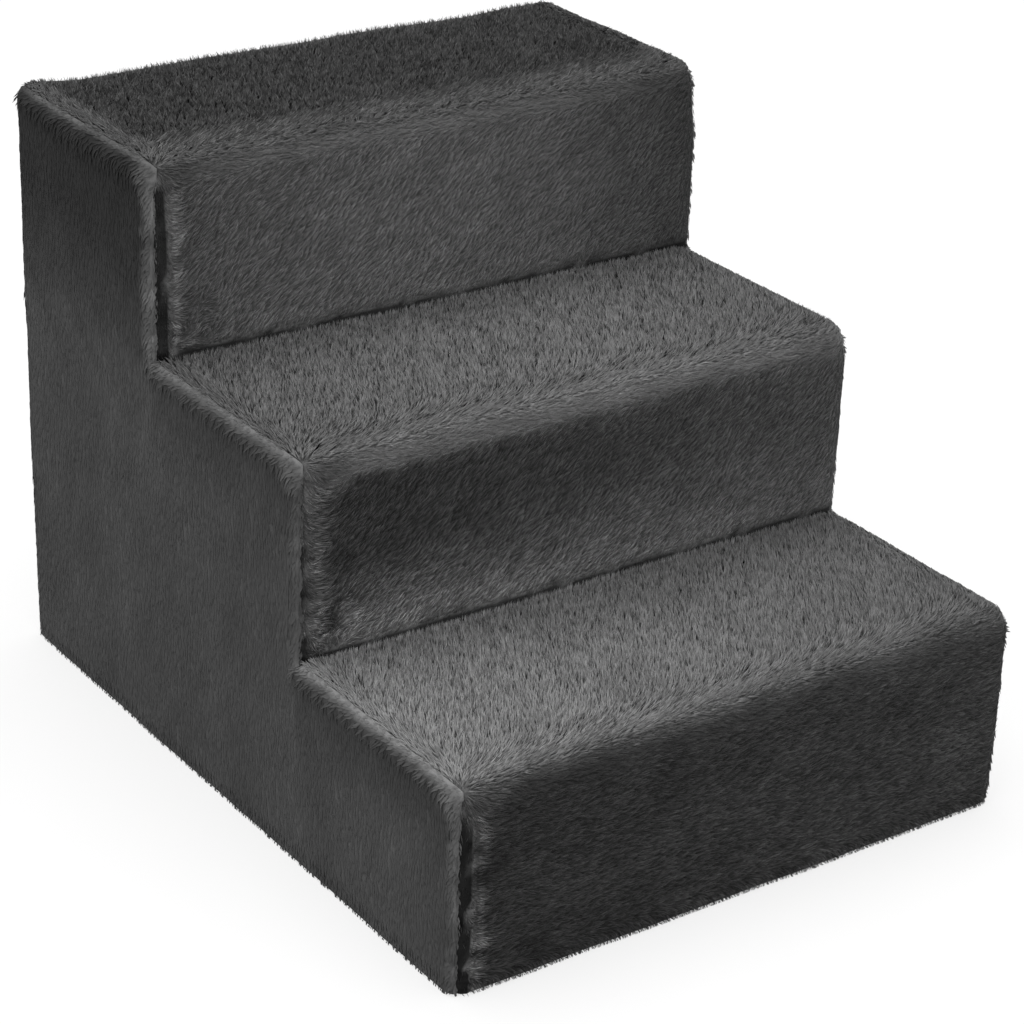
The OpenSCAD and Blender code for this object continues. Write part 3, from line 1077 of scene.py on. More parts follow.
            # Painted shade: the seam between the strip and the riser is dark
            if abs(p.x) < SEAM + SEAM_WIDTH:
                lie.tone = self.tone * 0.25
                lie.lift = 0.15
                lie.long = SEAM_LOCK
        if p.y > BACK - self.inset - TINY:
            lie.nap = Vector((0.0, 0.0, -1.0))
            lie.tone = self.tone
            lie.lift = 0.15
            lie.long = BACK_STRIP_LOCK


# Distances over which the back's pile turns over its top edge and lengthens above the zip, and how far above
# the slot's foot the back panel's pile starts
BACK_TURN = 0.012
ZIP_SHORT = 0.010
SLOT_ROOM = 0.002


class BackLie:
    """The pile of the back, laid down and kept short beside the zip."""

    def __init__(self, shape, pile, tones):
        self.top, self.length, self.tone = TOPS[TOP_STEP] - shape.inset, pile.side_length, tones.side

    def __call__(self, p):
        hem = fade(*HEM_SIDE, p.z)
        nap = Vector((0.0, 0.0, -1.0)) + swirl(p, PLAIN_SWIRL) * 0.25 + swirl(p, PLAIN_FINE_SWIRL) * 0.12
        nap += Vector((0.0, 1.0, 0.6)) * fade(0.0, BACK_TURN, self.top - p.z)
        nap += swirl(p, HEM_SWIRL) * 0.5 * hem
        beside = fade(0.0, ZIP_SHORT, p.z - SLOT_TOP) if p.z > SLOT_FOOT + SLOT_ROOM else 0.0
        lift = 0.09 + 0.3 * hem
        long = above_floor(p, nap, lift, self.length * (1.0 - 0.6 * beside))
        tone = self.tone * mottle(p, BACK_BLOTCHES[0], 0.09) * mottle(p, BACK_BLOTCHES[1], 0.06)
        return SimpleNamespace(nap=nap, lift=lift, long=long, tone=tone, thick=1.0, even=0.0)


# Node trees that repeat things


def new_group(name, kind, inputs, outputs):
    """A node group with its named sockets, each a name, a type and perhaps a default."""
    tree = bpy.data.node_groups.new(name, kind)
    for in_out, sockets in (("INPUT", inputs), ("OUTPUT", outputs)):
        for label, socket_type, *default in sockets:
            kind_name = f"NodeSocket{socket_type}"
            made = tree.interface.new_socket(name=label, in_out=in_out, socket_type=kind_name)
            if default:
                made.default_value = default[0]
    return tree, node(tree, "NodeGroupInput").outputs


def named(tree, name, kind="FLOAT"):
    return node(tree, "GeometryNodeInputNamedAttribute", {"Name": name}, data_type=kind).outputs["Attribute"]


def stored(tree, geometry, name, value, kind, domain):
    inputs = {"Geometry": geometry, "Name": name, "Value": value}
    made = node(tree, "GeometryNodeStoreNamedAttribute", inputs, data_type=kind, domain=domain)
    return made.outputs[0]


def parts(tree, vector):
    return node(tree, "ShaderNodeSeparateXYZ", {0: vector}).outputs


def joined(tree, *values):
    return node(tree, "ShaderNodeCombineXYZ", dict(enumerate(values))).outputs[0]


def chance(tree, low, high, seed, draw=0.0):
    """A random number for each point, different for each draw from the same seed."""
    made = node(tree, "FunctionNodeRandomValue", data_type="FLOAT")
    for name, value in (("Min", low), ("Max", high)):
        [s for s in made.inputs if s.name == name and s.enabled][0].default_value = value
    tree.links.new(maths(tree, "ADD", seed, draw) if draw else seed, made.inputs["Seed"])
    return [s for s in made.outputs if s.enabled][0]


def repeated(tree, points, pattern, material, **placing):
    """Puts a pattern on points as real mesh. Returns it, and how to finish the tree with a mesh."""
    shape = node(tree, "GeometryNodeObjectInfo", {"Object": pattern}).outputs["Geometry"]
    inputs = {"Points": points, "Instance": shape, **placing}
    placed = node(tree, "GeometryNodeInstanceOnPoints", inputs).outputs[0]
    real = node(tree, "GeometryNodeRealizeInstances", {"Geometry": placed}).outputs[0]

    def finish(mesh):
        done = node(tree, "GeometryNodeSetMaterial", {"Geometry": mesh, "Material": material}).outputs[0]
        node(tree, "NodeGroupOutput", {"Geometry": done})

    return real, finish


# The random draws of the pile, each made from the seed plus its own number
STRAY_DRAW = 3.0
LIFT_DRAW = 8.0
WIDTH_DRAW = 9.0
TONE_DRAW = 12.0


def lock_lie(tree, given, normal, place, tufts, long):
    """Which way each lock points: along the nap, drawn into its tuft, a little astray and lifted."""
    seed = given["Seed"]
    pull = vectors(tree, "SUBTRACT", tufts["Position"], place)
    pull = scaled(tree, pull, maths(tree, "DIVIDE", given["Tuft Pull"], long))
    stray = joined(tree, *(chance(tree, -1.0, 1.0, seed, STRAY_DRAW + i) for i in range(3)))
    nap = vectors(tree, "NORMALIZE", named(tree, "nap", "FLOAT_VECTOR"))
    along = vectors(tree, "ADD", vectors(tree, "ADD", nap, pull), scaled(tree, stray, given["Stray"]))
    out = scaled(tree, normal, vectors(tree, "DOT_PRODUCT", along, normal))
    along = vectors(tree, "NORMALIZE", vectors(tree, "SUBTRACT", along, out))
    uneven = maths(tree, "MULTIPLY", chance(tree, -0.5, 0.5, seed, LIFT_DRAW), given["Lift Spread"])
    lift = maths(tree, "ADD", named(tree, "lift"), uneven)
    level = scaled(tree, along, maths(tree, "COSINE", lift))
    return vectors(tree, "ADD", level, scaled(tree, normal, maths(tree, "SINE", lift)))


def lock_tone(tree, given, tufts):
    """The tone of each lock: its panel's, changed with its tuft and by chance where the pile isn't even."""
    tuft_shade = maths(tree, "SUBTRACT", parts(tree, tufts["Color"])[0], 0.5)
    # Most locks are a little lighter than their panel, and a few are much darker, or the other way about
    rare = maths(tree, "POWER", chance(tree, 0.0, 1.0, given["Seed"], TONE_DRAW), 3.0)
    own_shade = maths(tree, "SUBTRACT", 0.32, maths(tree, "MULTIPLY", rare, 1.15))
    change = maths(tree, "ADD", maths(tree, "MULTIPLY", tuft_shade, 0.5), own_shade)
    change = maths(tree, "MULTIPLY", change, given["Tone Spread"])
    change = maths(tree, "MULTIPLY", change, maths(tree, "SUBTRACT", 1.0, named(tree, "even")))
    return maths(tree, "MULTIPLY", named(tree, "tone"), maths(tree, "ADD", 1.0, change))


def lock_map(tree):
    """The lock's map: its tone is added across, and even pile's painted root shade is lifted almost to its
    tips' lightness.
    """
    place = named(tree, "OFBake", "FLOAT_VECTOR")
    rise = maths(tree, "SUBTRACT", 0.8, parts(tree, place)[1])
    rise = maths(tree, "MULTIPLY", rise, named(tree, "even"))
    return vectors(tree, "ADD", place, joined(tree, named(tree, "tone"), rise))


def pile_tree():
    """Sets bent locks on a panel. They follow its nap, lean together in tufts, and vary a little."""
    inputs = (
        ("Geometry", "Geometry"),
        ("Lock", "Object"),
        ("Density", "Float", 400000.0),
        ("Least Spacing", "Float", 0.0007),
        ("Lock Width", "Float", 0.001),
        ("Tuft Size", "Float", 0.004),
        ("Tuft Pull", "Float", 1.0),
        ("Stray", "Float", 0.3),
        ("Tone Spread", "Float", 0.3),
        ("Lift Spread", "Float", 0.28),
        ("Seed", "Int", 1),
        ("Material", "Material"),
    )
    tree, given = new_group("laid_pile", "GeometryNodeTree", inputs, (("Geometry", "Geometry"),))
    seed = given["Seed"]
    roots = node(
        tree,
        "GeometryNodeDistributePointsOnFaces",
        {
            "Mesh": given["Geometry"],
            "Distance Min": given["Least Spacing"],
            "Density Max": given["Density"],
            "Density Factor": named(tree, "thick"),
            "Seed": seed,
        },
        distribute_method="POISSON",
    ).outputs
    normal, place = roots["Normal"], node(tree, "GeometryNodeInputPosition").outputs[0]
    long = maths(tree, "MULTIPLY", named(tree, "long"), chance(tree, 0.78, 1.16, seed))
    tuft_scale = maths(tree, "DIVIDE", 1.0, given["Tuft Size"])
    tufts = node(tree, "ShaderNodeTexVoronoi", {"Vector": place, "Scale": tuft_scale}, feature="F1").outputs
    lie = lock_lie(tree, given, normal, place, tufts, long)
    turn = node(
        tree,
        "FunctionNodeAxesToRotation",
        {"Primary Axis": lie, "Secondary Axis": normal},
        primary_axis="Z",
        secondary_axis="X",
    ).outputs[0]
    width = maths(tree, "MULTIPLY", given["Lock Width"], chance(tree, 0.7, 1.3, seed, WIDTH_DRAW))
    toned = stored(tree, roots["Points"], "tone", lock_tone(tree, given, tufts), "FLOAT", "POINT")
    size = joined(tree, width, width, long)
    real, finish = repeated(tree, toned, given["Lock"], given["Material"], Rotation=turn, Scale=size)
    finish(stored(tree, real, "OFBake", lock_map(tree), "FLOAT2", "CORNER"))
    return tree


def grid_tree():
    """Repeats a pattern on a flat grid that lies level or stands upright."""
    inputs = (
        ("Geometry", "Geometry"),
        ("Pattern", "Object"),
        ("Columns", "Int", 10),
        ("Rows", "Int", 10),
        ("Width", "Float", 0.1),
        ("Depth", "Float", 0.1),
        ("Upright", "Float", 0.0),
        ("Place", "Vector"),
        ("Material", "Material"),
    )
    tree, given = new_group("pattern_grid", "GeometryNodeTree", inputs, (("Geometry", "Geometry"),))
    grid = node(
        tree,
        "GeometryNodeMeshGrid",
        {
            "Size X": given["Width"],
            "Size Y": given["Depth"],
            "Vertices X": given["Columns"],
            "Vertices Y": given["Rows"],
        },
    ).outputs["Mesh"]
    at = parts(tree, node(tree, "GeometryNodeInputPosition").outputs[0])
    level = maths(tree, "MULTIPLY", at[1], maths(tree, "SUBTRACT", 1.0, given["Upright"]))
    raised = maths(tree, "MULTIPLY", at[1], given["Upright"])
    spot = vectors(tree, "ADD", joined(tree, at[0], level, raised), given["Place"])
    moved = node(tree, "GeometryNodeSetPosition", {"Geometry": grid, "Position": spot}).outputs[0]
    real, finish = repeated(tree, moved, given["Pattern"], given["Material"])
    finish(real)
    return tree


def turned_pattern(name, rings, sides, axis):
    """A small closed form: rings of (place along the axis, radius), closed by a face at each end."""
    points, faces = [], []
    for along, radius in rings:
        for i in range(sides):
            angle = 2.0 * math.pi * i / sides
            a, b = radius * math.cos(angle), radius * math.sin(angle)
            points.append((along, a, b) if axis == "X" else (a, b, along))
    for row in range(len(rings) - 1):
        for i in range(sides):
            j = (i + 1) % sides
            faces.append((row * sides + i, row * sides + j, (row + 1) * sides + j, (row + 1) * sides + i))
    faces.append(tuple(reversed(range(sides))))
    last = (len(rings) - 1) * sides
    faces.append(tuple(range(last, last + sides)))
    return mesh_object(name, points, faces)


# How far up a lock swells, and the places of its root, swell and tip across its map, kept apart by a little
SWELL_HEIGHT = 0.44
MAP_ACROSS = (0.0008, 0.0022, -0.0022, -0.0008)


def one_lock(name, bow, low, high):
    """A lock of pile one unit long, with a root, a swell that bows outwards and a tip."""
    points = [(0, 0, 0), (bow, 0.5, SWELL_HEIGHT), (bow, -0.5, SWELL_HEIGHT), (0, 0, 1)]
    faces = [(0, 1, 2), (3, 2, 1), (0, 3, 1), (0, 2, 3)]
    lock = mesh_object(name, points, faces)
    layer = lock.data.uv_layers.new(name="OFBake")
    for loop in lock.data.loops:
        v = loop.vertex_index
        layer.data[loop.index].uv = (MAP_ACROSS[v], low + (high - low) * points[v][2])
    return lock


# Materials


def shader(name):
    material = bpy.data.materials.new(name)
    material.use_nodes = True
    tree = material.node_tree
    return material, tree, tree.nodes["Principled BSDF"]


CLOTH_OUTPUTS = (("Shade", "Float"), ("Height", "Float"))


def grain_group():
    """Fine uneven grain: a shade around 1 and a height for bump."""
    inputs = (("Vector", "Vector"), ("Scale", "Float", 400.0), ("Amount", "Float", 0.3))
    tree, given = new_group("fine_grain", "ShaderNodeTree", inputs, CLOTH_OUTPUTS)
    grain = {"Vector": given["Vector"], "Scale": given["Scale"], "Detail": 4.0}
    fine = node(tree, "ShaderNodeTexNoise", grain).outputs[0]
    change = maths(tree, "MULTIPLY", maths(tree, "SUBTRACT", fine, 0.5), given["Amount"])
    node(tree, "NodeGroupOutput", {"Shade": maths(tree, "ADD", 1.0, change), "Height": fine})
    return tree


def weave_group():
    """Plain weave: threads over and under, as a shade and a height."""
    inputs = (("Vector", "Vector"), ("Threads", "Float", 1400.0), ("Amount", "Float", 0.5))
    tree, given = new_group("plain_weave", "ShaderNodeTree", inputs, CLOTH_OUTPUTS)
    place = parts(tree, scaled(tree, given["Vector"], given["Threads"]))
    one = maths(tree, "SINE", maths(tree, "MULTIPLY", place[0], math.pi))
    two = maths(tree, "SINE", maths(tree, "MULTIPLY", maths(tree, "ADD", place[1], place[2]), math.pi))
    both = maths(tree, "MULTIPLY", one, two)
    height = maths(tree, "ADD", maths(tree, "MULTIPLY", both, 0.5), 0.5)
    change = maths(tree, "MULTIPLY", maths(tree, "SUBTRACT", height, 0.5), given["Amount"])
    node(tree, "NodeGroupOutput", {"Shade": maths(tree, "ADD", 1.0, change), "Height": height})
    return tree


def tinted(tree, colour, shade):
    """A colour made lighter or darker by a shade around 1."""
    return scaled(tree, tuple(colour), shade)


def finished(surface, **values):
    """Sets a surface's inputs: specular_ior_level stands for Specular IOR Level, and so on."""
    names = {name.lower().replace(" ", "_"): name for name in surface.inputs.keys()}
    for key, value in values.items():
        surface.inputs[names[key]].default_value = value


# Painted shade from a lock's root to its tip, darker at the root where the locks shade each other: place
# along the lock and lightness
ROOT_SHADE_TO_TIP = ((0.0, 0.34), (0.5, 0.84), (1.0, 1.12))


def pile_material(colours):
    """The pile: the map's first number is the lock's lightness, and its second runs from root to tip, with
    painted shade at the root.
    """
    material, tree, surface = shader("plush_pile")
    place = parts(tree, node(tree, "ShaderNodeUVMap", uv_map="OFBake").outputs[0])
    ramp = node(tree, "ShaderNodeValToRGB", {0: place[1]})
    stops = ramp.color_ramp.elements
    stops.new(ROOT_SHADE_TO_TIP[1][0])
    for stop, (along, light) in zip(stops, ROOT_SHADE_TO_TIP):
        stop.position = along
        stop.color = (light, light, light, 1)
    shade = maths(tree, "MULTIPLY", place[0], ramp.outputs[0])
    tree.links.new(tinted(tree, colours.plush, shade), surface.inputs["Base Color"])
    finished(surface, roughness=0.85, specular_ior_level=0.10, sheen_weight=0.05, sheen_roughness=0.5)
    return material


def cloth_material(name, colour, group, inputs, bump, reach=0.0004, **finish):
    """A surface whose colour and bump come from one of the shared groups, on the object's own coordinates."""
    material, tree, surface = shader(name)
    place = node(tree, "ShaderNodeTexCoord").outputs["Object"]
    made = node(tree, "ShaderNodeGroup", {"Vector": place, **inputs}, node_tree=group).outputs
    tree.links.new(tinted(tree, colour, made["Shade"]), surface.inputs["Base Color"])
    bumped = node(tree, "ShaderNodeBump", {"Strength": bump, "Distance": reach, "Height": made["Height"]})
    tree.links.new(bumped.outputs[0], surface.inputs["Normal"])
    finished(surface, **{"roughness": 0.9, **finish})
    return material


def toned_cloth(name, colour, group, inputs, bump):
    """A cloth surface that also follows the tone of the pile that stands on it, with that tone's painted
    light and shade.
    """
    material = cloth_material(name, colour, group, inputs, bump, specular_ior_level=0.1)
    tree = material.node_tree
    surface = tree.nodes["Principled BSDF"]
    plain = surface.inputs["Base Color"].links[0].from_socket
    under = node(tree, "ShaderNodeAttribute", attribute_name="tone").outputs["Fac"]
    tree.links.new(scaled(tree, plain, under), surface.inputs["Base Color"])
    return material


def knitted_backing(colours, made):
    grain = {"Scale": 900.0, "Amount": 0.8}
    return toned_cloth("knitted_backing", colours.backing, made["grain"], grain, bump=0.5)


def napped_backing(colours, made):
    grain = {"Scale": 1100.0, "Amount": 0.55}
    return toned_cloth("napped_backing", colours.nap, made["grain"], grain, bump=0.35)


def cut_foam(colours, made):
    grain = {"Scale": 260.0, "Amount": 0.35}
    return cloth_material("cut_foam", colours.foam, made["grain"], grain, bump=0.8, reach=0.001)


def base_weave(colours, made):
    threads = {"Threads": 1500.0, "Amount": 0.9}
    return cloth_material("base_weave", colours.base, made["weave"], threads, bump=0.6, reach=0.0003)


def printed_rubber(colours, made):
    grain = {"Scale": 1500.0, "Amount": 0.5}
    return cloth_material("printed_rubber", colours.dots, made["grain"], grain, bump=0.25, roughness=0.55)


def tape_weave(colours, made):
    threads = {"Threads": 2600.0, "Amount": 0.8}
    return cloth_material("tape_weave", colours.tape, made["weave"], threads, bump=0.6, reach=0.0002)


def sewing_thread(colours, made):
    grain = {"Scale": 2500.0, "Amount": 0.5}
    return cloth_material("sewing_thread", colours.tape, made["grain"], grain, bump=0.3, roughness=0.7)


def moulded_teeth(colours, made):
    grain = {"Scale": 3000.0, "Amount": 0.6}
    finish = {"bump": 0.15, "reach": 0.00005, "roughness": 0.42}
    return cloth_material("moulded_teeth", colours.teeth, made["grain"], grain, **finish)


def dark_metal(colours, made):
    grain = {"Scale": 1800.0, "Amount": 0.7}
    finish = {"bump": 0.12, "reach": 0.00005, "roughness": 0.36, "metallic": 0.9}
    return cloth_material("dark_metal", colours.metal, made["grain"], grain, **finish)


def background_share(tree):
    """1 where the camera, a reflection or clear stuff sees the background, and 0 where it only lights."""
    rays = node(tree, "ShaderNodeLightPath").outputs
    through = maths(tree, "ADD", rays["Is Glossy Ray"], rays["Is Transmission Ray"])
    return maths(tree, "MINIMUM", maths(tree, "ADD", rays["Is Camera Ray"], through), 1.0)


def stage_material(floor, glow):
    """Throws back plain light, and shows white to the camera, with the stairs' shadow kept."""
    material, tree, surface = shader("white_floor")
    finished(surface, base_color=(*floor, 1), roughness=0.9, specular_ior_level=0.0)
    strength = maths(tree, "MULTIPLY", background_share(tree), glow)
    white = node(tree, "ShaderNodeEmission", {"Color": (1, 1, 1, 1), "Strength": strength})
    both = node(tree, "ShaderNodeAddShader", {0: surface.outputs[0], 1: white.outputs[0]})
    tree.links.new(both.outputs[0], tree.nodes["Material Output"].inputs["Surface"])
    return material


def even_light(strength):
    """A world that shows white to the camera and lights the stairs evenly from all round."""
    world = bpy.data.worlds.new("even_light")
    world.use_nodes = True
    tree = world.node_tree
    seen = background_share(tree)
    rest = maths(tree, "MULTIPLY", maths(tree, "SUBTRACT", 1.0, seen), strength)
    ground = tree.nodes["Background"]
    ground.inputs["Color"].default_value = (1, 1, 1, 1)
    tree.links.new(maths(tree, "ADD", seen, rest), ground.inputs["Strength"])
    return world


# Making and finishing of pieces


def library(context):
    """The shared groups, made once."""
    groups = bpy.data.node_groups
    return {
        "grain": groups.get("fine_grain") or grain_group(),
        "weave": groups.get("plain_weave") or weave_group(),
        "pile": groups.get("laid_pile") or pile_tree(),
        "grid": groups.get("pattern_grid") or grid_tree(),
    }


def declare(piece, body, cad=None):
    """Hangs a finished piece on the body that carries it, and hides the packed part that it stands for."""
    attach(piece, body)
    if cad:
        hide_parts(cad)


def cloth_grid(name, us, vs, place):
    """A flat cloth over two lists of places."""
    rows = len(vs)
    faces = [
        (i * rows + j, i * rows + j + 1, (i + 1) * rows + j + 1, (i + 1) * rows + j)
        for i in range(len(us) - 1)
        for j in range(rows - 1)
    ]
    return mesh_object(name, [place(u, v) for u in us for v in vs], faces)


def walled(piece, thickness, offset=-1.0):
    """Gives a cloth its thickness: behind its faces, or on both sides at an offset of 0."""
    wall = piece.modifiers.new("wall", "SOLIDIFY")
    wall.thickness, wall.offset = thickness, offset
    apply_modifiers(piece)


def edged(piece, width, segments):
    """Breaks the edges that turn by more than 30 degrees."""
    edge = piece.modifiers.new("edge", "BEVEL")
    edge.width, edge.segments = width, segments
    edge.limit_method, edge.angle_limit = "ANGLE", math.radians(30.0)
    apply_modifiers(piece)


def repeat(context, name, pattern, material, values):
    """Makes one piece of a pattern that repeats on a grid."""
    piece = mesh_object(name, [(0, 0, 0)], [])
    grow(piece, library(context)["grid"], {"Pattern": pattern, "Material": material, **values})
    bpy.data.objects.remove(pattern)
    dress(piece, material)
    shade_smooth(piece)
    return piece


FOAM_PIECES = ["base_foam", "middle_foam", "top_foam"]


def sew(shape, name, panel, lie, material, cad):
    """Makes one panel's backing, held stretched over the foam."""
    piece = panel.build(name, lie)
    keep_attributes(piece, ("tone",))
    walled(piece, shape.thickness)
    shade_smooth(piece)
    dress(piece, material)
    declare(piece, "stairs", cad)


# How far each kind of lock bows out, and the span of the painted root-to-tip shade that it shows
LOCKS = {"tread": (1.2, 0.02, 1.0), "riser": (0.8, 0.04, 1.0), "flat": (0.05, 0.77, 0.82)}


class PileStyle(NamedTuple):
    """How one kind of pile is made: its lock, how many lock widths wide, and inputs of its own."""

    lock: str
    width: float
    inputs: dict


PLAIN_INPUTS = {"Tuft Pull": 0.6, "Stray": 0.22, "Tone Spread": 0.18, "Lift Spread": 0.28}
PILE_STYLES = {
    "riser": PileStyle(
        "riser",
        0.66,
        {
            "Least Spacing": 0.0005,
            "Tone Spread": -1.25,
            "Stray": 0.17,
            "Lift Spread": 0.24,
            "Tuft Size": 0.0034,
            "Tuft Pull": 0.7,
        },
    ),
    "low_tread": PileStyle(
        "tread", 1.0, {"Tone Spread": 1.08, "Stray": 0.26, "Tuft Size": 0.0028, "Tuft Pull": 1.5}
    ),
    "middle_tread": PileStyle(
        "tread", 1.0, {"Tone Spread": 1.5, "Stray": 0.26, "Tuft Size": 0.0030, "Tuft Pull": 1.8}
    ),
    "top_tread": PileStyle(
        "tread", 1.0, {"Tone Spread": -1.3, "Stray": 0.45, "Tuft Size": 0.0042, "Tuft Pull": 1.7}
    ),
    "side": PileStyle(
        "flat", 2.7, {"Stray": 0.07, "Tuft Pull": 0.12, "Tone Spread": 0.05, "Lift Spread": 0.015}
    ),
    "back": PileStyle(
        "flat", 1.7, {"Stray": 0.10, "Tuft Pull": 0.2, "Tone Spread": 0.09, "Lift Spread": 0.12}
    ),
}
TREAD_STYLES = ("low_tread", "middle_tread", "top_tread")
# How far each panel's seed lies from the next one's, and the numbers of the sides and the back.
# The steps' twelve halves have the numbers from 0 to 11.
SEED_STEP = 40
SIDE_NUMBERS = {-1: 12, 1: 14}
BACK_NUMBERS = (15, 16)


def pile_on(context, name, panel, lie, cad, density, style, number):
    """Grows the pile of one panel as a piece of its own."""
    pile, kind = context.scene.pile_sizes, PILE_STYLES[style]
    material = bpy.data.materials.get("plush_pile") or pile_material(context.scene.cover_colours)
    piece = panel.build(name, lie)
    lock = one_lock("lock_pattern", *LOCKS[kind.lock])
    if kind.lock != "flat":
        shade_smooth(lock)
    settings = {
        "Lock": lock,
        "Density": density,
        "Least Spacing": pile.spacing,
        "Lock Width": pile.lock_width * kind.width,
        "Tuft Size": pile.tuft,
        "Seed": pile.seed + SEED_STEP * number,
        "Material": material,
    }
    grow(piece, library(context)["pile"], {**settings, **PLAIN_INPUTS, **kind.inputs})
    dress(piece, material)
    bpy.data.objects.remove(lock)
    keep_attributes(piece, ("OFBake", "sharp_face"))
    declare(piece, "stairs", cad)


def bevelled(name, node_name, body, material, width):
    """A copy of a packed part with its edges broken."""
    copy = bpy.data.objects.new(name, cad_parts[node_name].data.copy())
    bpy.context.scene.collection.objects.link(copy)
    shape = bmesh.new()
    shape.from_mesh(copy.data)
    bmesh.ops.remove_doubles(shape, verts=shape.verts, dist=0.1 * TINY)
    bmesh.ops.dissolve_limit(shape, angle_limit=math.radians(2.0), verts=shape.verts, edges=shape.edges)
    shape.to_mesh(copy.data)
    shape.free()
    keep_attributes(copy, ())
    edged(copy, width, 2)
    dress(copy, material)
    declare(copy, body, node_name)


def lamp(name, power, size, place):
    """A round lamp that shines at the stairs' middle."""
    light = bpy.data.lights.new(name, "AREA")
    light.energy, light.size, light.shape = power, size, "DISK"
    made = bpy.data.objects.new(name, light)
    made.location = place
    made.rotation_euler = (Vector(LAMP_TARGET) - Vector(place)).to_track_quat("-Z", "Y").to_euler()
    bpy.context.scene.collection.objects.link(made)


# Operators


class STAIRS_OT_backing(bpy.types.Operator):
    """Sews the knitted backing of each panel of the cover"""

    bl_idname = "stairs.backing"
    bl_label = "Cover Backing"

    def execute(self, context):
        scene = context.scene
        shape, pile, tones = scene.cover_shape, scene.pile_sizes, scene.pile_tones
        colours, made = scene.cover_colours, library(context)
        knitted, napped = knitted_backing(colours, made), napped_backing(colours, made)
        for k in STEPS:
            step = k + 1
            sew(
                shape, f"step_{step}_backing", step_panel(shape, k), StepLie(shape, pile, tones, k),
                knitted, f"cover_step_{step}",
            )
        for label, sign in (("left", -1), ("right", 1)):
            sew(
                shape, f"{label}_side_backing", side_panel(shape, sign), SideLie(shape, pile, tones, sign),
                napped, f"cover_{label}_side",
            )
        lie = BackLie(shape, pile, tones)
        for part, panel, tall in (
            ("panel", back_panel(shape), TOPS[TOP_STEP] - SLOT_TOP),
            ("hem", back_hem(shape), SLOT_FOOT),
        ):
            name, cad = f"back_{part}_backing", f"cover_back_{part}"
            sew(shape, name, panel, lie, napped, cad)
        return {"FINISHED"}


class STAIRS_OT_step_pile(bpy.types.Operator):
    """Grows the pile of the three risers and treads"""

    bl_idname = "stairs.step_pile"
    bl_label = "Step Pile"

    def execute(self, context):
        shape, pile, tones = context.scene.cover_shape, context.scene.pile_sizes, context.scene.pile_tones
        number = 0
        for k in STEPS:
            lie = StepLie(shape, pile, tones, k)
            for part, style in (("riser", "riser"), ("tread", TREAD_STYLES[k])):
                for half, start, stop in (("left", -SEAM, 0.0), ("right", 0.0, SEAM)):
                    panel = step_panel(shape, k, part == "riser", part == "tread", start, stop)
                    pile_on(
                        context, f"step_{k + 1}_{part}_pile_{half}", panel, lie, f"cover_step_{k + 1}",
                        pile.step_density, style, number,
                    )
                    number += 1
        return {"FINISHED"}


class STAIRS_OT_side_pile(bpy.types.Operator):
    """Grows the smooth pile of the two side panels"""

    bl_idname = "stairs.side_pile"
    bl_label = "Side Pile"

    def execute(self, context):
        shape, pile, tones = context.scene.cover_shape, context.scene.pile_sizes, context.scene.pile_tones
        for label, sign in (("left", -1), ("right", 1)):
            pile_on(
                context, f"{label}_side_pile", side_panel(shape, sign), SideLie(shape, pile, tones, sign),
                f"cover_{label}_side", pile.side_density, "side", SIDE_NUMBERS[sign],
            )
        return {"FINISHED"}


class STAIRS_OT_back_pile(bpy.types.Operator):
    """Grows the pile of the back panel and the hem below the zip"""

    bl_idname = "stairs.back_pile"
    bl_label = "Back Pile"

    def execute(self, context):
        shape, pile, tones = context.scene.cover_shape, context.scene.pile_sizes, context.scene.pile_tones
        lie = BackLie(shape, pile, tones)
        parts_made = (("panel", back_panel(shape)), ("hem", back_hem(shape)))
        for number, (part, panel) in zip(BACK_NUMBERS, parts_made):
            pile_on(
                context, f"back_{part}_pile", panel, lie, f"cover_back_{part}",
                pile.back_density, "back", number,
            )
        return {"FINISHED"}


class STAIRS_OT_foam(bpy.types.Operator):
    """Cuts the three slabs of the foam core"""

    bl_idname = "stairs.foam"
    bl_label = "Foam Core"

    def execute(self, context):
        trim = context.scene.trim_sizes
        material = cut_foam(context.scene.cover_colours, library(context))
        for name, cad in zip(FOAM_PIECES, ("foam_base_slab", "foam_middle_slab", "foam_top_slab")):
            low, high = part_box(cad)
            corners = [(x, y, z) for x in (low.x, high.x) for y in (low.y, high.y) for z in (low.z, high.z)]
            faces = [(0, 1, 3, 2), (4, 6, 7, 5), (0, 4, 5, 1), (2, 3, 7, 6), (0, 2, 6, 4), (1, 5, 7, 3)]
            piece = mesh_object(name, corners, faces)
            edged(piece, trim.foam_round, 4)
            shade_smooth(piece)
            dress(piece, material)
            declare(piece, "stairs", cad)
        return {"FINISHED"}


# Grid lines of the base cloth across and along it, and of a zip tape
BASE_LINES = (40, 50)
TAPE_LINES = (140, 8)
# Room that the cloth's face keeps above its dots' depth, and the two plain borders of the base together
DOT_SINK = 0.0001
DOT_BORDERS = 0.030
# A zip tape: its thickness and the height and the two directions' scales of its slow waves
TAPE_THICKNESS = 0.00055
TAPE_WAVE = 0.00008
TAPE_WAVES = (60.0, 90.0)
# The tape's stitches: thread radius at their ends and middle, the tape's two plain ends together,
# distance between the two rows, height above the tape, and distance from the middle of the zip
STITCH_RADII = (0.00006, 0.0002)
STITCH_ENDS = 0.010
STITCH_ROWS = 0.0016
STITCH_RISE = 0.00035
STITCH_PLACE = 0.0064


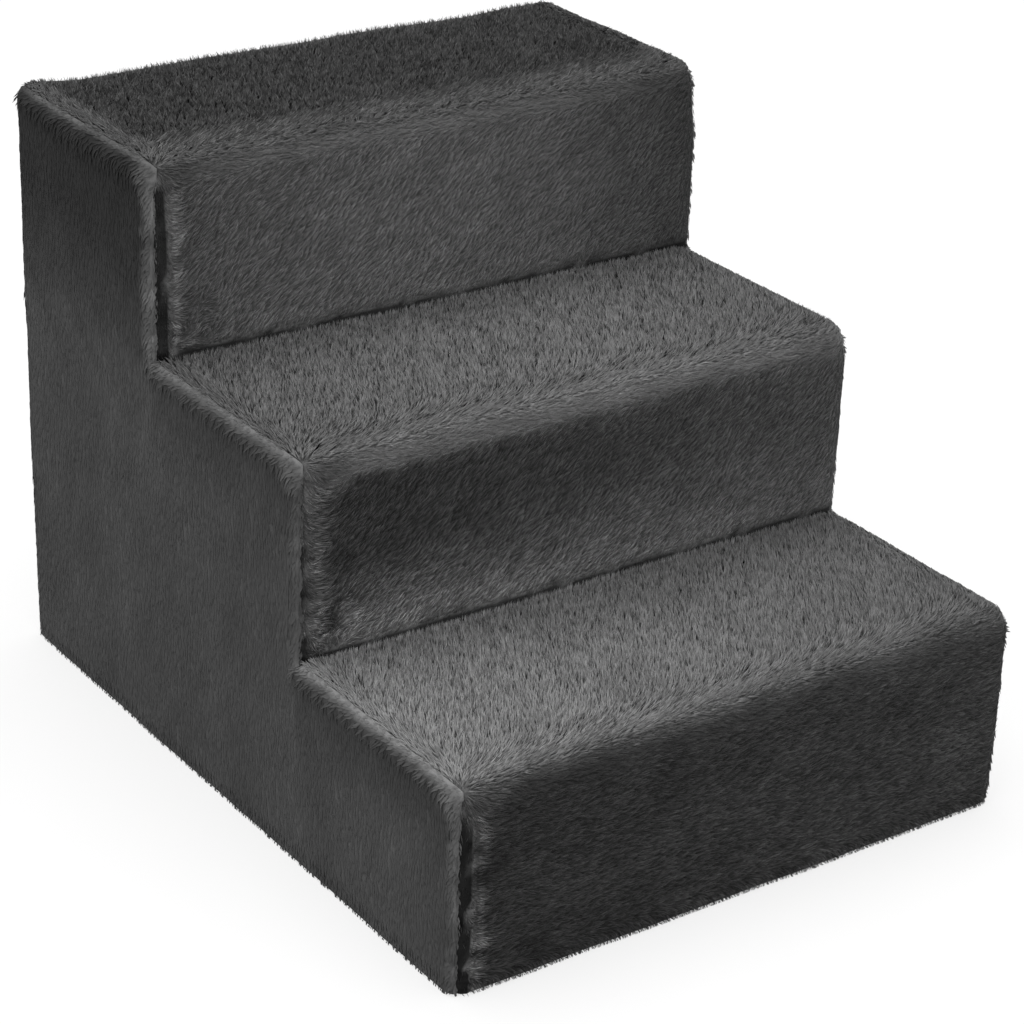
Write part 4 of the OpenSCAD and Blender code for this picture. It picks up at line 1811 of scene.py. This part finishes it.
class STAIRS_OT_base(bpy.types.Operator):
    """Lays the woven base cloth and prints its grip dots"""

    bl_idname = "stairs.base"
    bl_label = "Base Cloth"

    def execute(self, context):
        trim, colours, made = context.scene.trim_sizes, context.scene.cover_colours, library(context)
        low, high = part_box("cover_base")
        reach = Vector((trim.base_edge, trim.base_edge, 0.0))
        low, high = low - reach, high + reach
        width, depth = high.x - low.x, high.y - low.y
        under = low.z + trim.dot_height + DOT_SINK
        xs, ys = np.linspace(low.x, high.x, BASE_LINES[0]), np.linspace(low.y, high.y, BASE_LINES[1])
        piece = cloth_grid("base_cloth", xs, ys, lambda x, y: (x, y, under))
        walled(piece, high.z - under)
        dress(piece, base_weave(colours, made))
        declare(piece, "stairs", "cover_base")
        size, tall = trim.dot_size / 2.0, trim.dot_height
        rings = ((-tall, 0.5 * size), (-0.6 * tall, 0.88 * size), (0.1 * tall, size))
        columns, rows = (int((v - DOT_BORDERS) / trim.dot_pitch) + 1 for v in (width, depth))
        values = {
            "Columns": columns,
            "Rows": rows,
            "Width": (columns - 1) * trim.dot_pitch,
            "Depth": (rows - 1) * trim.dot_pitch,
            "Place": ((low.x + high.x) / 2, (low.y + high.y) / 2, under),
        }
        dot, rubber = turned_pattern("dot_pattern", rings, 8, "Z"), printed_rubber(colours, made)
        dots = repeat(context, "grip_dots", dot, rubber, values)
        declare(dots, "stairs", "cover_base")
        return {"FINISHED"}


class STAIRS_OT_tapes(bpy.types.Operator):
    """Weaves the two zip tapes and sews them to the cover"""

    bl_idname = "stairs.tapes"
    bl_label = "Zip Tapes"

    def execute(self, context):
        trim, colours, made = context.scene.trim_sizes, context.scene.cover_colours, library(context)
        woven, thread = tape_weave(colours, made), sewing_thread(colours, made)
        middle = (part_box("zip_teeth_upper")[0].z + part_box("zip_teeth_lower")[1].z) / 2
        half = trim.stitch_length / 2.0
        end_radius, radius = STITCH_RADII
        rings = ((-half, end_radius), (-0.7 * half, radius), (0.7 * half, radius), (half, end_radius))
        for label, sign, cloth in (("upper", 1, "back_panel_backing"), ("lower", -1, "back_hem_backing")):
            low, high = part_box(f"zip_tape_{label}")
            length, face = high.x - low.x, (low.y + high.y) / 2

            def waved(x, z, face=face):
                wave = noise.noise(Vector((x * TAPE_WAVES[0], 0.0, z * TAPE_WAVES[1])))
                return (x, face + TAPE_WAVE * wave, z)

            xs, zs = np.linspace(low.x, high.x, TAPE_LINES[0]), np.linspace(low.z, high.z, TAPE_LINES[1])
            piece = cloth_grid(f"{label}_tape", xs, zs, waved)
            walled(piece, TAPE_THICKNESS, 0.0)
            dress(piece, woven)
            declare(piece, "stairs", f"zip_tape_{label}")
            columns = int((length - STITCH_ENDS) / trim.stitch_pitch)
            values = {
                "Columns": columns,
                "Rows": 2,
                "Width": (columns - 1) * trim.stitch_pitch,
                "Depth": STITCH_ROWS,
                "Upright": 1.0,
                "Place": (0.0, face + STITCH_RISE, middle + sign * STITCH_PLACE),
            }
            stitch = turned_pattern("stitch_pattern", rings, 6, "X")
            stitches = repeat(context, f"{label}_tape_stitches", stitch, thread, values)
            declare(stitches, "stairs")
        return {"FINISHED"}


# Width of the broken edges of the slider and pull, and of the small stops
HARDWARE_EDGE = 0.0002
STOP_EDGE = 0.00015


class STAIRS_OT_zip(bpy.types.Operator):
    """Finishes the teeth, stops, slider and pull of the zip"""

    bl_idname = "stairs.zip"
    bl_label = "Zip Hardware"

    def execute(self, context):
        colours, made = context.scene.cover_colours, library(context)
        moulded, metal = moulded_teeth(colours, made), dark_metal(colours, made)
        for name in ("zip_teeth_upper", "zip_teeth_lower"):
            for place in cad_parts[name].material_slots:
                place.material = moulded
        bevelled("slider", "zip_slider", "slider", metal, HARDWARE_EDGE)
        bevelled("pull_tab", "zip_pull", "pull", metal, HARDWARE_EDGE)
        bevelled("top_stops", "zip_top_stops", "stairs", metal, STOP_EDGE)
        bevelled("bottom_stop", "zip_bottom_stop", "stairs", metal, STOP_EDGE)
        return {"FINISHED"}


# Half the floor's width, and the two lamps' widths and places, all aimed at the stairs' middle, in metres
FLOOR_HALF = 9.0
OVERHEAD_SIZE = 2.4
OVERHEAD_PLACE = (-0.2, 0.1, 2.6)
SIDE_SIZE = 1.6
SIDE_PLACE = (-2.4, -1.6, 1.4)
LAMP_TARGET = (0.0, 0.0, 0.2)
# The camera: its place in metres, its turn, tilt and roll in degrees, and its sensor and lens in millimetres
CAMERA_PLACE = (-0.9596, -1.3521, 0.9357)
CAMERA_ANGLES = (-35.5531, 25.6119, 1.9958)
SENSOR_WIDTH = 36.0
LENS = 105.38


def camera_frame():
    """The camera's right, up and back directions as a turn, from its angles."""
    turn, tilt, roll = (math.radians(v) for v in CAMERA_ANGLES)
    back = Vector((math.sin(turn) * math.cos(tilt), -math.cos(turn) * math.cos(tilt), math.sin(tilt)))
    right = (-back).cross(Vector((0, 0, 1))).normalized()
    up = right.cross(-back)
    level = right * math.cos(roll) + up * math.sin(roll)
    upright = up * math.cos(roll) - right * math.sin(roll)
    return Matrix((level, upright, back)).transposed().to_4x4()


class STAIRS_OT_stage(bpy.types.Operator):
    """Sets the floor, lamps, world and camera"""

    bl_idname = "stairs.stage"
    bl_label = "Stage"

    def execute(self, context):
        scene, light = context.scene, context.scene.stage_light
        corners = [(x * FLOOR_HALF, y * FLOOR_HALF, 0.0) for x, y in ((-1, -1), (1, -1), (1, 1), (-1, 1))]
        floor = mesh_object("floor", corners, [(0, 1, 2, 3)])
        dress(floor, stage_material(light.floor, light.glow))
        lamp("overhead_lamp", light.overhead, OVERHEAD_SIZE, OVERHEAD_PLACE)
        lamp("side_lamp", light.fill, SIDE_SIZE, SIDE_PLACE)
        scene.world = even_light(light.world)
        scene.view_settings.view_transform = "Standard"
        camera = bpy.data.cameras.new("camera")
        camera.sensor_width, camera.lens = SENSOR_WIDTH, LENS
        made = bpy.data.objects.new("camera", camera)
        scene.collection.objects.link(made)
        made.matrix_world = Matrix.Translation(CAMERA_PLACE) @ camera_frame()
        scene.camera = made
        return {"FINISHED"}


class STAIRS_PT_panel(bpy.types.Panel):
    """Sizes, tones and makers of the pet stairs"""

    bl_idname = "STAIRS_PT_panel"
    bl_label = "Pet Stairs"
    bl_space_type = "VIEW_3D"
    bl_region_type = "UI"
    bl_category = "Pet Stairs"

    def draw(self, context):
        for name, group in GROUPS.items():
            box = self.layout.box()
            box.label(text=group.__doc__)
            values = getattr(context.scene, name)
            for key in group.__annotations__:
                box.prop(values, key)
        for operator in OPERATORS:
            self.layout.operator(operator.bl_idname)


GROUPS = {
    "cover_shape": CoverShape,
    "pile_sizes": PileSizes,
    "pile_tones": PileTones,
    "trim_sizes": TrimSizes,
    "cover_colours": CoverColours,
    "stage_light": StageLight,
}
OPERATORS = (
    STAIRS_OT_stage,
    STAIRS_OT_foam,
    STAIRS_OT_backing,
    STAIRS_OT_step_pile,
    STAIRS_OT_side_pile,
    STAIRS_OT_back_pile,
    STAIRS_OT_base,
    STAIRS_OT_tapes,
    STAIRS_OT_zip,
)


def register():
    for cls in (*GROUPS.values(), *OPERATORS, STAIRS_PT_panel):
        bpy.utils.register_class(cls)
    for name, group in GROUPS.items():
        setattr(bpy.types.Scene, name, bpy.props.PointerProperty(type=group))


def unregister():
    for name in GROUPS:
        delattr(bpy.types.Scene, name)
    for cls in (STAIRS_PT_panel, *reversed(OPERATORS), *reversed(GROUPS.values())):
        bpy.utils.unregister_class(cls)


def main():
    register()
    bpy.ops.stairs.stage()
    bpy.ops.stairs.foam()
    bpy.ops.stairs.backing()
    bpy.ops.stairs.step_pile()
    bpy.ops.stairs.side_pile()
    bpy.ops.stairs.back_pile()
    bpy.ops.stairs.base()
    bpy.ops.stairs.tapes()
    bpy.ops.stairs.zip()


if __name__ == "__main__":
    main()
